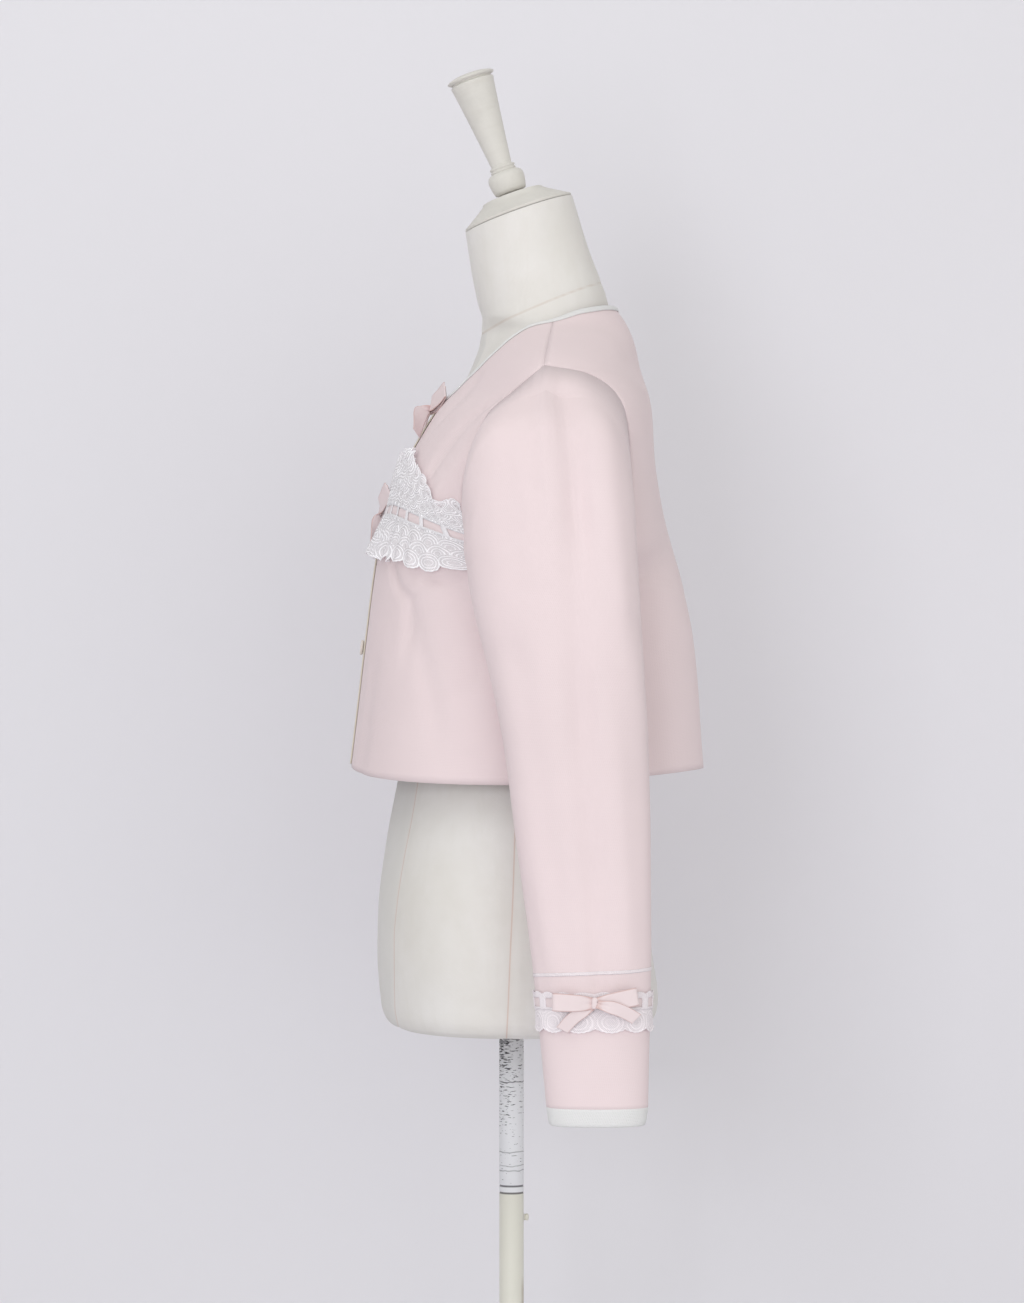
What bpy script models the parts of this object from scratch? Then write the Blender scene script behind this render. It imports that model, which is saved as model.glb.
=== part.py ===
"""A cropped lace-trimmed cardigan on a limbless dress form with a pole and a round base.

Metres, +Z up. The front faces -Y and the wearer's left is +X. The origin is on the pole's axis,
on the underside of the base.
"""

import math
from collections import namedtuple

import bpy
import numpy as np
from mathutils import Matrix, Vector

# Cloth and seams
KNIT_WALL = 0.0015
LACE_WALL = 0.0010
RIBBON_WALL = 0.0010
SEAM_GAP = 0.0003
EDGE_TRIM = 0.0002
SHOULDER_EDGE_TRIM = 0.0008

# Heights of the cardigan's edges
HEM_CENTRE = 0.9268
HEM_SIDE = 0.9180
UNDERARM = 1.0980
SHOULDER_POINT = 1.2520
NECK_POINT = 1.2965
NECK_FRONT = 1.2300
NECK_BACK = 1.3115

# Grid sizes
FRONT_COLUMNS = 12
BACK_HALF_COLUMNS = 9
SIDE_ROWS = 7
ARMHOLE_ROWS = 9
SHOULDER_ROWS = 4
SLEEVE_COLUMNS = 2 * ARMHOLE_ROWS
SHOULDER_SHARE = (SIDE_ROWS + ARMHOLE_ROWS) / (SIDE_ROWS + ARMHOLE_ROWS + SHOULDER_ROWS)
SHOULDER_RISE = 1.2
SLEEVE_ROWS = 16

# Horizontal sections of the cardigan's body, outside the cloth. Half width is at the sides, front and
# back are Y, middle is the Y of the widest place, and a power of 2 is an ellipse, more is squarer.
Section = namedtuple("Section", "height half_width front back middle front_power back_power")
BODY_SECTIONS = (
    Section(0.900, 0.1720, -0.1375, 0.1620, 0.012, 2.30, 2.60),
    Section(0.928, 0.1700, -0.1340, 0.1600, 0.012, 2.30, 2.60),
    Section(0.973, 0.1660, -0.1285, 0.1560, 0.014, 2.30, 2.70),
    Section(1.034, 0.1600, -0.1213, 0.1490, 0.018, 2.30, 2.90),
    Section(1.100, 0.1565, -0.1126, 0.1345, 0.022, 2.35, 3.20),
    Section(1.150, 0.1620, -0.1010, 0.1240, 0.026, 2.30, 3.40),
    Section(1.186, 0.1700, -0.0850, 0.1188, 0.028, 2.10, 3.40),
    Section(1.219, 0.1815, -0.0660, 0.1172, 0.027, 1.75, 3.00),
    Section(1.236, 0.1820, -0.0545, 0.1158, 0.026, 1.50, 2.50),
    Section(1.246, 0.1790, -0.0480, 0.1145, 0.026, 1.42, 2.20),
    Section(1.252, 0.1740, -0.0440, 0.1135, 0.026, 1.40, 2.10),
    Section(1.260, 0.1610, -0.0388, 0.1115, 0.027, 1.42, 2.05),
    Section(1.275, 0.1250, -0.0290, 0.1070, 0.030, 1.45, 2.00),
    Section(1.2965, 0.0700, -0.0160, 0.0975, 0.034, 1.70, 2.00),
    Section(1.313, 0.0600, -0.0080, 0.0860, 0.034, 2.00, 2.00),
)

# How far round the body each panel reaches beside the armhole: degrees from the centre front and back.
Armhole = namedtuple("Armhole", "height front_angle back_angle")
ARMHOLE_EDGE = (
    Armhole(1.098, 90.0, 90.0),
    Armhole(1.106, 78.0, 73.0),
    Armhole(1.122, 68.5, 60.0),
    Armhole(1.145, 62.5, 55.0),
    Armhole(1.180, 60.0, 52.7),
    Armhole(1.212, 58.5, 53.0),
    Armhole(1.232, 67.0, 57.0),
    Armhole(1.246, 79.0, 69.0),
    Armhole(1.252, 90.0, 90.0),
)

# The neckline: height of the edge at each angle from the centre front, and from the centre back.
NeckEdge = namedtuple("NeckEdge", "angle height")
NECKLINE_FRONT = (
    NeckEdge(0.0, NECK_FRONT),
    NeckEdge(19.0, 1.2400),
    NeckEdge(28.6, 1.2535),
    NeckEdge(38.5, 1.2680),
    NeckEdge(50.0, 1.2820),
    NeckEdge(67.0, 1.2922),
    NeckEdge(90.0, NECK_POINT),
)
NECKLINE_BACK = (
    NeckEdge(0.0, NECK_BACK),
    NeckEdge(30.0, 1.3108),
    NeckEdge(65.0, 1.3060),
    NeckEdge(90.0, NECK_POINT),
)

# Large soft folds. Across and along are fractions of the panel or sleeve, from its first column and row.
Fold = namedtuple("Fold", "across_start along_start across_end along_end width depth")
FRONT_FOLDS = (
    Fold(0.30, 0.47, 0.46, 0.08, 0.055, 0.0035),
    Fold(0.62, 0.47, 0.88, 0.18, 0.060, 0.0035),
    Fold(0.62, 0.95, 0.36, 0.78, 0.060, 0.0025),
)
BACK_FOLDS = (
    Fold(0.30, 0.62, 0.24, 0.02, 0.040, 0.0045),
    Fold(0.70, 0.60, 0.75, 0.02, 0.040, 0.0040),
    Fold(0.47, 0.30, 0.45, 0.00, 0.050, 0.0030),
)
SLEEVE_FOLDS = (
    Fold(0.58, 0.96, 0.63, 0.50, 0.040, 0.0045),
    Fold(0.55, 0.48, 0.62, 0.16, 0.050, 0.0035),
    Fold(0.88, 0.80, 0.95, 0.45, 0.060, 0.0035),
)

# Sections of the sleeve, from the armhole to the wrist: the outer and inner arm in X and Z, and the front and
# back edges in Y. A section slants where its outer arm is higher than its inner arm.
SleeveSection = namedtuple("SleeveSection", "outer outer_height inner inner_height front back")
SLEEVE_SECTIONS = (
    SleeveSection(0.2030, 1.2390, 0.1600, 1.0890, -0.0405, 0.0955),
    SleeveSection(0.2180, 1.2150, 0.1635, 1.0720, -0.0403, 0.0972),
    SleeveSection(0.2300, 1.1730, 0.1665, 1.0460, -0.0385, 0.0993),
    SleeveSection(0.2370, 1.1130, 0.1695, 1.0110, -0.0300, 0.1020),
    SleeveSection(0.2400, 1.0420, 0.1730, 0.9700, -0.0170, 0.1050),
    SleeveSection(0.2420, 0.9650, 0.1770, 0.9220, -0.0055, 0.1085),
    SleeveSection(0.2430, 0.8830, 0.1830, 0.8630, 0.0035, 0.1100),
    SleeveSection(0.2430, 0.8000, 0.1905, 0.7930, 0.0139, 0.1104),
    SleeveSection(0.2430, 0.7300, 0.1940, 0.7290, 0.0213, 0.1093),
    SleeveSection(0.2425, 0.6630, 0.1960, 0.6630, 0.0276, 0.1077),
)
SLEEVE_POWER = 2.15
CUFF_EDGE_TOP = 0.6622
CUFF_EDGE_BOTTOM = 0.6480

# Neck edging, front band and button
NECK_TRIM_WIDTH = 0.0045
TRIM_CLEARANCE = 0.0005
TRIM_WALL = 0.0012
BAND_BELOW_NECK = 0.0052
BAND_HALF_WIDTH = 0.0080
BUTTON_RADIUS = 0.0065
BUTTON_THICKNESS = 0.0028
BUTTON_HEIGHT = 1.0260

# Lace over the bust. Along runs from the centre front (0) to the armhole (1), heights in metres.
LaceEdge = namedtuple("LaceEdge", "along header_top stand_off flounce_bottom flare")
LACE_EDGES = (
    LaceEdge(0.00, 1.1900, 0.0100, 1.1030, 0.0090),
    LaceEdge(0.15, 1.1940, 0.0060, 1.1020, 0.0080),
    LaceEdge(0.30, 1.1870, 0.0040, 1.1000, 0.0070),
    LaceEdge(0.50, 1.1680, 0.0030, 1.0950, 0.0060),
    LaceEdge(0.62, 1.1580, 0.0025, 1.0900, 0.0050),
    LaceEdge(0.74, 1.1450, 0.0020, 1.0870, 0.0040),
    LaceEdge(0.86, 1.1470, 0.0015, 1.0865, 0.0030),
    LaceEdge(1.00, 1.1360, 0.0010, 1.0875, 0.0012),
)
LADDER_AT_CENTRE = 1.1405
LADDER_AT_ARMHOLE = 1.1130
LADDER_HEIGHT = 0.0085
LADDER_RAIL = 0.0020
LACE_START = 0.004
LACE_REACH = 0.965
FLOUNCE_REACH = 0.880
SLOTS_PER_FRONT = 8
SLOT_SHARE = 0.82
LACE_CLEARANCE = 0.0025
LACE_OVER_BAND = 0.0032
FLOUNCE_WAVES = 8
FLOUNCE_COLUMNS = 40
FLOUNCE_DROP = 0.0009
RIBBON_CLEARANCE = 0.0010
FLOUNCE_WAVE = 0.0020
HEADER_WAVE = 0.0012
RIBBON_HEIGHT = 0.0095

# Cuff trimming: heights on the sleeve
CUFF_LINE_HEIGHT = 0.7670
CUFF_LINE_WIDTH = 0.0022
CUFF_LACE_TOP = 0.7560
CUFF_LADDER_TOP = 0.7515
CUFF_LADDER_BOTTOM = 0.7430
CUFF_LACE_BOTTOM = 0.7245
CUFF_SCALLOP = 0.0035
CUFF_SLOTS_PER_HALF = 6
CUFF_BAR = 0.25

# Bows, in millimetres: the loop runs out from the knot and back, seen from above, and width is the
# ribbon's width there.
LoopPoint = namedtuple("LoopPoint", "sideways out width")
BOW_LOOP = (
    LoopPoint(1.2, 4.4, 4.6),
    LoopPoint(6.8, 5.2, 7.0),
    LoopPoint(13.5, 6.6, 9.8),
    LoopPoint(22.0, 7.0, 11.6),
    LoopPoint(29.0, 6.0, 12.0),
    LoopPoint(33.0, 4.0, 12.0),
    LoopPoint(32.5, 2.0, 12.0),
    LoopPoint(27.0, 1.2, 11.6),
    LoopPoint(17.5, 1.1, 10.2),
    LoopPoint(8.0, 1.3, 7.0),
    LoopPoint(1.2, 1.6, 4.8),
)
BOW_KNOT = (0.0078, 0.0062, 0.0100)
BOW_KNOT_ROUND = 0.0018
BOW_RIBBON = 0.0085
TAIL_START = (0.0021, 0.0030, -0.0034)
TAIL_START_WIDTH = 0.0028
TAIL_BULGE = 0.0016

# Each bow's loops: how long they are against the cuff's, how far they stand out, and how far they rise.
# A tail ends sideways, down and out from the knot.
BowShape = namedtuple("BowShape", "size depth rise tail_ends")
CUFF_BOW = BowShape(1.00, 1.0, 0.000, ((0.0290, -0.0240, 0.0012), (-0.0300, -0.0230, 0.0012)))
NECK_BOW = BowShape(1.00, 1.9, 0.012, ((0.0150, -0.0240, 0.0030), (-0.0150, -0.0240, 0.0030)))
BUST_BOW = BowShape(0.92, 1.4, 0.011, ((0.0120, -0.0260, 0.0060), (-0.0120, -0.0260, 0.0060)))
CUFF_BOW_HEIGHT = 0.7455
CUFF_BOW_CLEARANCE = 0.0036
NECK_BOW_HEIGHT = 1.2270
NECK_BOW_CLEARANCE = 0.0019
BUST_BOW_HEIGHT = 1.1400
BUST_BOW_CLEARANCE = 0.0043
BOW_SPAN = 0.012

# Dress form. Rows run upwards; tilt leans a section towards the front.
FormSection = namedtuple("FormSection", "height half_width front back power tilt")
FORM_TORSO = (
    FormSection(0.7110, 0.1500, -0.0950, 0.1080, 2.30, 0.0),
    FormSection(0.7150, 0.1580, -0.1030, 0.1160, 2.30, 0.0),
    FormSection(0.7240, 0.1625, -0.1080, 0.1215, 2.30, 0.0),
    FormSection(0.7370, 0.1635, -0.1100, 0.1225, 2.30, 0.0),
    FormSection(0.7720, 0.1650, -0.1124, 0.1175, 2.30, 0.0),
    FormSection(0.8100, 0.1640, -0.1115, 0.1130, 2.30, 0.0),
    FormSection(0.8600, 0.1570, -0.1056, 0.1065, 2.25, 0.0),
    FormSection(0.9170, 0.1410, -0.0950, 0.0975, 2.20, 0.0),
    FormSection(0.9700, 0.1230, -0.0850, 0.0900, 2.15, 0.0),
    FormSection(1.0200, 0.1150, -0.0805, 0.0880, 2.10, 0.0),
    FormSection(1.0700, 0.1220, -0.0880, 0.0950, 2.15, 0.0),
    FormSection(1.1080, 0.1320, -0.1020, 0.1040, 2.25, 0.0),
)
FormShoulder = namedtuple("FormShoulder", "height widest")
FORM_SHOULDERS = (
    FormShoulder(1.1400, 0.1400),
    FormShoulder(1.1650, 0.1460),
    FormShoulder(1.1900, 0.1530),
    FormShoulder(1.2120, 0.1610),
    FormShoulder(1.2320, 0.1700),
    FormShoulder(1.2440, 0.1700),
    FormShoulder(1.2560, 0.1700),
    FormShoulder(1.2680, 0.1700),
    FormShoulder(1.2800, 0.1700),
    FormShoulder(1.2900, 0.1700),
)
FORM_INSET = 0.0034
FORM_DROP = 0.0036
FORM_NECK = (
    FormSection(1.3020, 0.0595, -0.0245, 0.0855, 2.0, 0.0),
    FormSection(1.3200, 0.0535, -0.0275, 0.0775, 2.0, 8.0),
    FormSection(1.3480, 0.0495, -0.0325, 0.0650, 2.0, 14.0),
    FormSection(1.3900, 0.0465, -0.0385, 0.0510, 2.0, 19.5),
)
FORM_COLUMNS = 32

# Cap and finial, about the neck's leaning axis: radius and distance along the axis, in millimetres.
Turned = namedtuple("Turned", "radius along")
CAP_PROFILE = (
    Turned(0.0, 17.0),
    Turned(25.0, 17.0),
    Turned(26.3, 16.4),
    Turned(26.8, 14.8),
    Turned(45.6, 3.0),
    Turned(47.0, 2.4),
    Turned(47.0, 0.6),
    Turned(46.2, 0.0),
    Turned(0.0, 0.0),
)
FINIAL_PROFILE = (
    Turned(0.0, 106.0),
    Turned(10.0, 105.3),
    Turned(17.5, 103.2),
    Turned(19.4, 101.6),
    Turned(19.0, 99.6),
    Turned(17.2, 98.2),
    Turned(18.3, 96.6),
    Turned(8.8, 24.4),
    Turned(8.8, 23.0),
    Turned(10.6, 22.0),
    Turned(10.6, 20.0),
    Turned(9.2, 18.6),
    Turned(12.6, 15.4),
    Turned(15.0, 9.5),
    Turned(14.0, 3.6),
    Turned(12.3, 0.0),
    Turned(0.0, 0.0),
)
NECK_TOP_Y = 0.00625
NECK_TOP_Z = 1.3900
NECK_LEAN = 19.5
CAP_HEIGHT = 0.0170

# Pole and base
POLE_RADIUS = 0.0102
BASE_RADIUS = 0.1900
BASE_THICKNESS = 0.0120
COLLAR_RADIUS = 0.0240
COLLAR_HEIGHT = 0.0280
STUD_HEIGHT = 0.5480
STUD_RADIUS = 0.0030
STUD_LENGTH = 0.0055

MILLIMETRE = 0.001


def smooth_curve(keys, values, at):
    """Values on a smooth curve through the rows, with slopes that never overshoot."""
    keys = np.asarray(keys, float)
    values = np.asarray(values, float)
    rises = np.diff(values) / np.diff(keys)
    slopes = np.zeros(len(keys))
    slopes[0] = rises[0]
    slopes[-1] = rises[-1]
    for i in range(1, len(rises)):
        if rises[i - 1] * rises[i] > 0.0:
            slopes[i] = 2.0 * rises[i - 1] * rises[i] / (rises[i - 1] + rises[i])
    at = np.clip(np.asarray(at, float), keys[0], keys[-1])
    spot = np.clip(np.searchsorted(keys, at, side="right") - 1, 0, len(rises) - 1)
    step = keys[spot + 1] - keys[spot]
    t = (at - keys[spot]) / step
    start = values[spot] * (1.0 + 2.0 * t) * (1.0 - t) ** 2
    end = values[spot + 1] * t**2 * (3.0 - 2.0 * t)
    start_slope = slopes[spot] * step * t * (1.0 - t) ** 2
    end_slope = slopes[spot + 1] * step * t**2 * (t - 1.0)
    return start + end + start_slope + end_slope


def column(rows, name, at, key=None):
    """A named column of a table, read at a value of its first column."""
    keys = [getattr(row, key) if key else row[0] for row in rows]
    return smooth_curve(keys, [getattr(row, name) for row in rows], at)


def ease(t):
    """Smooth step from 0 to 1."""
    t = np.clip(t, 0.0, 1.0)
    return t * t * (3.0 - 2.0 * t)


def signed_power(value, power):
    """Power that keeps the sign."""
    return np.sign(value) * np.abs(value) ** power


def body_point(angle, height):
    """Points outside the body's cloth: degrees from the centre front, 90 at the left side, 180 at the back."""
    sine = np.sin(np.radians(angle))
    cosine = np.cos(np.radians(angle))
    sections = {name: column(BODY_SECTIONS, name, height) for name in Section._fields[1:]}
    forward = cosine > 0.0
    depth = np.where(forward, sections["middle"] - sections["front"], sections["back"] - sections["middle"])
    power = np.where(forward, sections["front_power"], sections["back_power"])
    x = sections["half_width"] * signed_power(sine, 2.0 / power)
    y = sections["middle"] - depth * signed_power(cosine, 2.0 / power)
    return np.stack([x, y, np.broadcast_to(height, x.shape)], axis=-1)


def lengths_along(points):
    """Distance of each point from the first, along the line."""
    steps = np.linalg.norm(np.diff(points, axis=0), axis=1)
    return np.concatenate([[0.0], np.cumsum(steps)])


def resample(points, fractions, trim_start=0.0, trim_end=0.0):
    """Points at even fractions of a dense line's length, with its ends trimmed."""
    along = lengths_along(points)
    wanted = trim_start + np.asarray(fractions) * (along[-1] - trim_start - trim_end)
    return np.stack([np.interp(wanted, along, points[:, k]) for k in range(3)], axis=-1)


def panel_edge(is_front):
    """The panel's outer edge, hem to neck point, as rows of angle, height and edge trim."""
    angle_name = "front_angle" if is_front else "back_angle"
    rows = []
    for height in np.linspace(HEM_SIDE, UNDERARM, SIDE_ROWS + 1)[:-1]:
        rows.append((90.0, height, EDGE_TRIM))
    dense = np.linspace(UNDERARM, SHOULDER_POINT, 200)
    angles = column(ARMHOLE_EDGE, angle_name, dense)
    far_side = angles if is_front else 180.0 - angles
    points = body_point(far_side, dense)
    along = lengths_along(points)
    for share in np.linspace(0.0, 1.0, ARMHOLE_ROWS + 1)[:-1]:
        height = np.interp(share * along[-1], along, dense)
        rows.append((float(np.interp(height, dense, angles)), float(height), EDGE_TRIM))
    for height in np.linspace(SHOULDER_POINT, NECK_POINT, SHOULDER_ROWS + 1):
        rows.append((90.0, height, SHOULDER_EDGE_TRIM))
    return rows


def half_panel(is_front, columns):
    """Grid of points from the hem up to the neckline, and from the centre out to the side."""
    neckline = NECKLINE_FRONT if is_front else NECKLINE_BACK
    neck_height = NECK_FRONT if is_front else NECK_BACK
    edge = panel_edge(is_front)
    fractions = np.linspace(0.0, 1.0, columns + 1)
    t = np.linspace(0.0, 1.0, 240)
    neck_angle = t * 90.0
    neck_rise = column(neckline, "height", neck_angle) - neck_height
    neck_share = neck_rise / (NECK_POINT - neck_height)
    grid = []
    for i, (angle, outer_height, trim) in enumerate(edge):
        v = i / (len(edge) - 1)
        centre_height = HEM_CENTRE + (neck_height - HEM_CENTRE) * v
        top_pull = ease((v - SHOULDER_SHARE) / (1.0 - SHOULDER_SHARE))
        rise = 1.0 - (1.0 - t) ** (1.0 + SHOULDER_RISE * ease((v - 0.4) / (SHOULDER_SHARE - 0.4)))
        share = (1.0 - top_pull) * rise + top_pull * neck_share
        height = centre_height + (outer_height - centre_height) * share
        from_centre = angle * t
        around = from_centre if is_front else 180.0 - from_centre
        start = EDGE_TRIM if is_front else 0.0
        grid.append(resample(body_point(around, height), fractions, start, trim))
    return np.array(grid)


def mirrored(grid):
    """The same grid on the other side, with its faces still pointing out."""
    return grid[:, ::-1] * np.array([-1.0, 1.0, 1.0])


def grid_normals(points, closed=False):
    """Unit directions out of a grid whose columns run anticlockwise seen from outside, with rows upwards."""
    if closed:
        ring = points[:, :-1]
        across = np.roll(ring, -1, axis=1) - np.roll(ring, 1, axis=1)
        across = np.concatenate([across, across[:, :1]], axis=1)
    else:
        across = np.gradient(points, axis=1)
    along = np.gradient(points, axis=0)
    normals = np.cross(across, along)
    return normals / np.linalg.norm(normals, axis=-1, keepdims=True)


def folded(points, folds, closed=False):
    """A grid pushed in along each soft fold."""
    rows, columns = points.shape[:2]
    across = np.linspace(0.0, 1.0, columns)[None, :]
    along = np.linspace(0.0, 1.0, rows)[:, None]
    depth = np.zeros((rows, columns))
    for fold in folds:
        run = np.array([fold.across_end - fold.across_start, fold.along_end - fold.along_start])
        length = np.hypot(*run)
        beside = (across - fold.across_start) * run[1] - (along - fold.along_start) * run[0]
        past = ((across - fold.across_start) * run[0] + (along - fold.along_start) * run[1]) / length**2
        fade = ease(np.clip(past, 0.0, 1.0) * 4.0) * ease((1.0 - np.clip(past, 0.0, 1.0)) * 4.0)
        depth = depth + fold.depth * fade * np.exp(-((beside / length / fold.width) ** 2))
    return points - grid_normals(points, closed) * depth[..., None]


class Sheet:
    """A grid of cloth that other pieces lie on, read between its points."""

    def __init__(self, points, closed=False):
        self.points = points
        self.normals = grid_normals(points, closed)

    def at(self, across, height, out):
        """Point at a fraction across, at a height, moved out by a distance."""
        columns = self.points.shape[1] - 1
        place = min(max(across, 0.0), 1.0) * columns
        j = min(int(place), columns - 1)
        f = place - j
        line = self.points[:, j] * (1.0 - f) + self.points[:, j + 1] * f
        normal_line = self.normals[:, j] * (1.0 - f) + self.normals[:, j + 1] * f
        point = [np.interp(height, line[:, 2], line[:, k]) for k in range(3)]
        normal = np.array([np.interp(height, line[:, 2], normal_line[:, k]) for k in range(3)])
        return np.array(point) + out * normal / np.linalg.norm(normal)


def material(name, colour, roughness, metallic=0.0):
    """A Principled BSDF material."""
    made = bpy.data.materials.new(name)
    made.use_nodes = True
    shader = made.node_tree.nodes["Principled BSDF"]
    shader.inputs["Base Color"].default_value = (*colour, 1.0)
    shader.inputs["Roughness"].default_value = roughness
    shader.inputs["Metallic"].default_value = metallic
    return made


def new_object(name, mesh, collection, made_material, smooth=True):
    """An object in the collection, with its material and shading."""
    thing = bpy.data.objects.new(name, mesh)
    collection.objects.link(thing)
    mesh.materials.append(made_material)
    if smooth:
        mesh.shade_smooth()
    return thing


def grid_mesh(name, points, closed=False, holes=()):
    """An open mesh of a grid of points, without the cells named as holes."""
    rows, columns = points.shape[:2]
    if closed:
        columns -= 1
        points = points[:, :columns]
    vertices = [tuple(p) for p in points.reshape(-1, 3)]
    faces = []
    for i in range(rows - 1):
        for j in range(columns if closed else columns - 1):
            if (i, j) in holes:
                continue
            k = (j + 1) % columns
            faces.append((i * columns + j, i * columns + k, (i + 1) * columns + k, (i + 1) * columns + j))
    mesh = bpy.data.meshes.new(name)
    mesh.from_pydata(vertices, [], faces)
    mesh.update()
    return mesh


def add_wall(thing, thickness, side):
    """A wall on an open surface: side -1 is inward, 0 both ways and 1 outward."""
    wall = thing.modifiers.new("Wall", "SOLIDIFY")
    wall.thickness = thickness
    wall.offset = side
    wall.use_rim = True
    wall.use_even_offset = True
    wall.use_quality_normals = True


def cloth(name, points, collection, made_material, wall, side=-1.0, closed=False, holes=()):
    """A cloth piece: a wall of one thickness on a grid."""
    mesh = grid_mesh(name, points, closed, holes)
    thing = new_object(name, mesh, collection, made_material)
    add_wall(thing, wall, side)
    return thing


def armhole_loop(front, half_back):
    """Closed line of the left armhole from the panels' edges: underarm, front, shoulder point, back."""
    rows = slice(SIDE_ROWS, SIDE_ROWS + ARMHOLE_ROWS + 1)
    up = front[rows, -1]
    down = half_back[rows, -1][::-1]
    shoulder = (up[-1] + down[0]) / 2.0
    underarm = (up[0] + down[-1]) / 2.0
    return np.concatenate([[underarm], up[1:-1], [shoulder], down[1:-1]])


def sleeve_ring(station, columns):
    """One section of the sleeve: inner arm first, then front edge, outer arm and back edge."""
    stations = np.arange(len(SLEEVE_SECTIONS))
    section = {
        name: float(smooth_curve(stations, [getattr(row, name) for row in SLEEVE_SECTIONS], station))
        for name in SleeveSection._fields
    }
    outer = np.array([section["outer"], 0.0, section["outer_height"]])
    inner = np.array([section["inner"], 0.0, section["inner_height"]])
    centre = (outer + inner) / 2.0
    centre[1] = (section["front"] + section["back"]) / 2.0
    half_depth = (section["back"] - section["front"]) / 2.0
    angles = np.linspace(-0.5 * math.pi, 1.5 * math.pi, columns + 1)[:-1]
    cosine = signed_power(np.cos(angles), 2.0 / SLEEVE_POWER)
    sine = signed_power(np.sin(angles), 2.0 / SLEEVE_POWER)
    across = (outer - inner) / 2.0
    return centre + sine[:, None] * across - cosine[:, None] * np.array([0.0, half_depth, 0.0])


def sleeve_grid(front, half_back):
    """Rings from the wrist up to the armhole, so that rows run upwards."""
    last = len(SLEEVE_SECTIONS) - 1
    rings = [sleeve_ring(s, SLEEVE_COLUMNS) for s in np.linspace(0.0, last, SLEEVE_ROWS)]
    loop = armhole_loop(front, half_back)
    away = rings[0] - loop
    away = away / np.linalg.norm(away, axis=1, keepdims=True)
    topmost = (loop[:, 2:] - UNDERARM) / (SHOULDER_POINT - UNDERARM)
    seam = EDGE_TRIM + SHOULDER_EDGE_TRIM * ease((topmost - 0.6) / 0.4)
    rings.insert(0, loop + away * seam)
    grid = np.array(rings[::-1])
    return np.concatenate([grid, grid[:, :1]], axis=1)


def front_trims(collection, paint, left, sign_name):
    """Header ruffle, flounce and ribbon of one front; left is the left front's sheet."""
    flip = sign_name == "right"

    def place(rows):
        grid = np.array(rows)
        return mirrored(grid) if flip else grid

    def over_band(point_x):
        return LACE_CLEARANCE + (LACE_OVER_BAND - LACE_CLEARANCE) * ease((0.020 - point_x) / 0.008)

    def ladder_middle(s):
        return LADDER_AT_CENTRE + (LADDER_AT_ARMHOLE - LADDER_AT_CENTRE) * s

    def lifted(s, reach, height, extra):
        across = LACE_START + (reach - LACE_START) * s
        flat = left.at(across, height, 0.0)
        return left.at(across, height, over_band(flat[0]) + extra)

    unit = 1.0 / SLOTS_PER_FRONT
    marks = []
    for i in range(SLOTS_PER_FRONT):
        start = i * unit
        marks += [start, start + (1.0 - SLOT_SHARE) * unit, start + (1.0 - SLOT_SHARE / 2.0) * unit]
    marks.append(1.0)
    header = []
    for share in (0.0, LADDER_RAIL, LADDER_RAIL + LADDER_HEIGHT, None, 0.5, 1.0):
        line = []
        for k, s in enumerate(marks):
            foot = ladder_middle(s) - LADDER_HEIGHT / 2.0 - LADDER_RAIL
            upper = foot + LADDER_HEIGHT + 2.0 * LADDER_RAIL
            if share is not None and share < 0.1:
                line.append(lifted(s, LACE_REACH, foot + share, 0.0))
                continue
            rise = share or 0.0
            top = float(column(LACE_EDGES, "header_top", s)) + (0.0015 if k % 3 == 1 else -0.001)
            stand = float(column(LACE_EDGES, "stand_off", s)) * rise**1.5
            wave = HEADER_WAVE * rise * math.cos(2.0 * math.pi * k / 3.0)
            line.append(lifted(s, LACE_REACH, upper + (top - upper) * rise, stand + wave))
        header.append(line)
    holes = {(1, 3 * i + k) for i in range(SLOTS_PER_FRONT) for k in (1, 2)}
    if flip:
        count = len(marks) - 1
        holes = {(i, count - 1 - j) for i, j in holes}
    cloth(f"lace_header_{sign_name}", place(header), collection, paint["lace"], LACE_WALL, 1.0, holes=holes)

    flounce = []
    for share in (1.0, 0.66, 0.33, 0.0):
        line = []
        for k in range(FLOUNCE_COLUMNS + 1):
            s = k / FLOUNCE_COLUMNS
            phase = 2.0 * math.pi * FLOUNCE_WAVES * s
            top = ladder_middle(s) - LADDER_HEIGHT / 2.0 - LADDER_RAIL - FLOUNCE_DROP
            scallop = 0.0018 * abs(math.sin(phase / 2.0 + 0.5)) * share
            bottom = float(column(LACE_EDGES, "flounce_bottom", s))
            height = top + (bottom - top) * share - scallop
            flare = float(column(LACE_EDGES, "flare", s)) * share
            wave = (FLOUNCE_WAVE * (1.2 - 0.5 * s)) * math.cos(phase) * share**0.6
            reach = LACE_REACH + (FLOUNCE_REACH - LACE_REACH) * share
            line.append(lifted(s, reach, height, max(flare + wave, 0.0)))
        flounce.append(line)
    cloth(f"lace_flounce_{sign_name}", place(flounce), collection, paint["lace"], LACE_WALL, 1.0)

    ribbon = []
    for shift in (-0.5, 0.5):
        line = []
        for s in np.linspace(0.065, 0.975, 2 * SLOTS_PER_FRONT + 1):
            across = LACE_START + (LACE_REACH - LACE_START) * s
            line.append(left.at(across, ladder_middle(s) + shift * RIBBON_HEIGHT, RIBBON_CLEARANCE))
        ribbon.append(line)
    cloth(f"bust_ribbon_{sign_name}", place(ribbon), collection, paint["ribbon"], RIBBON_WALL, 1.0)


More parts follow.
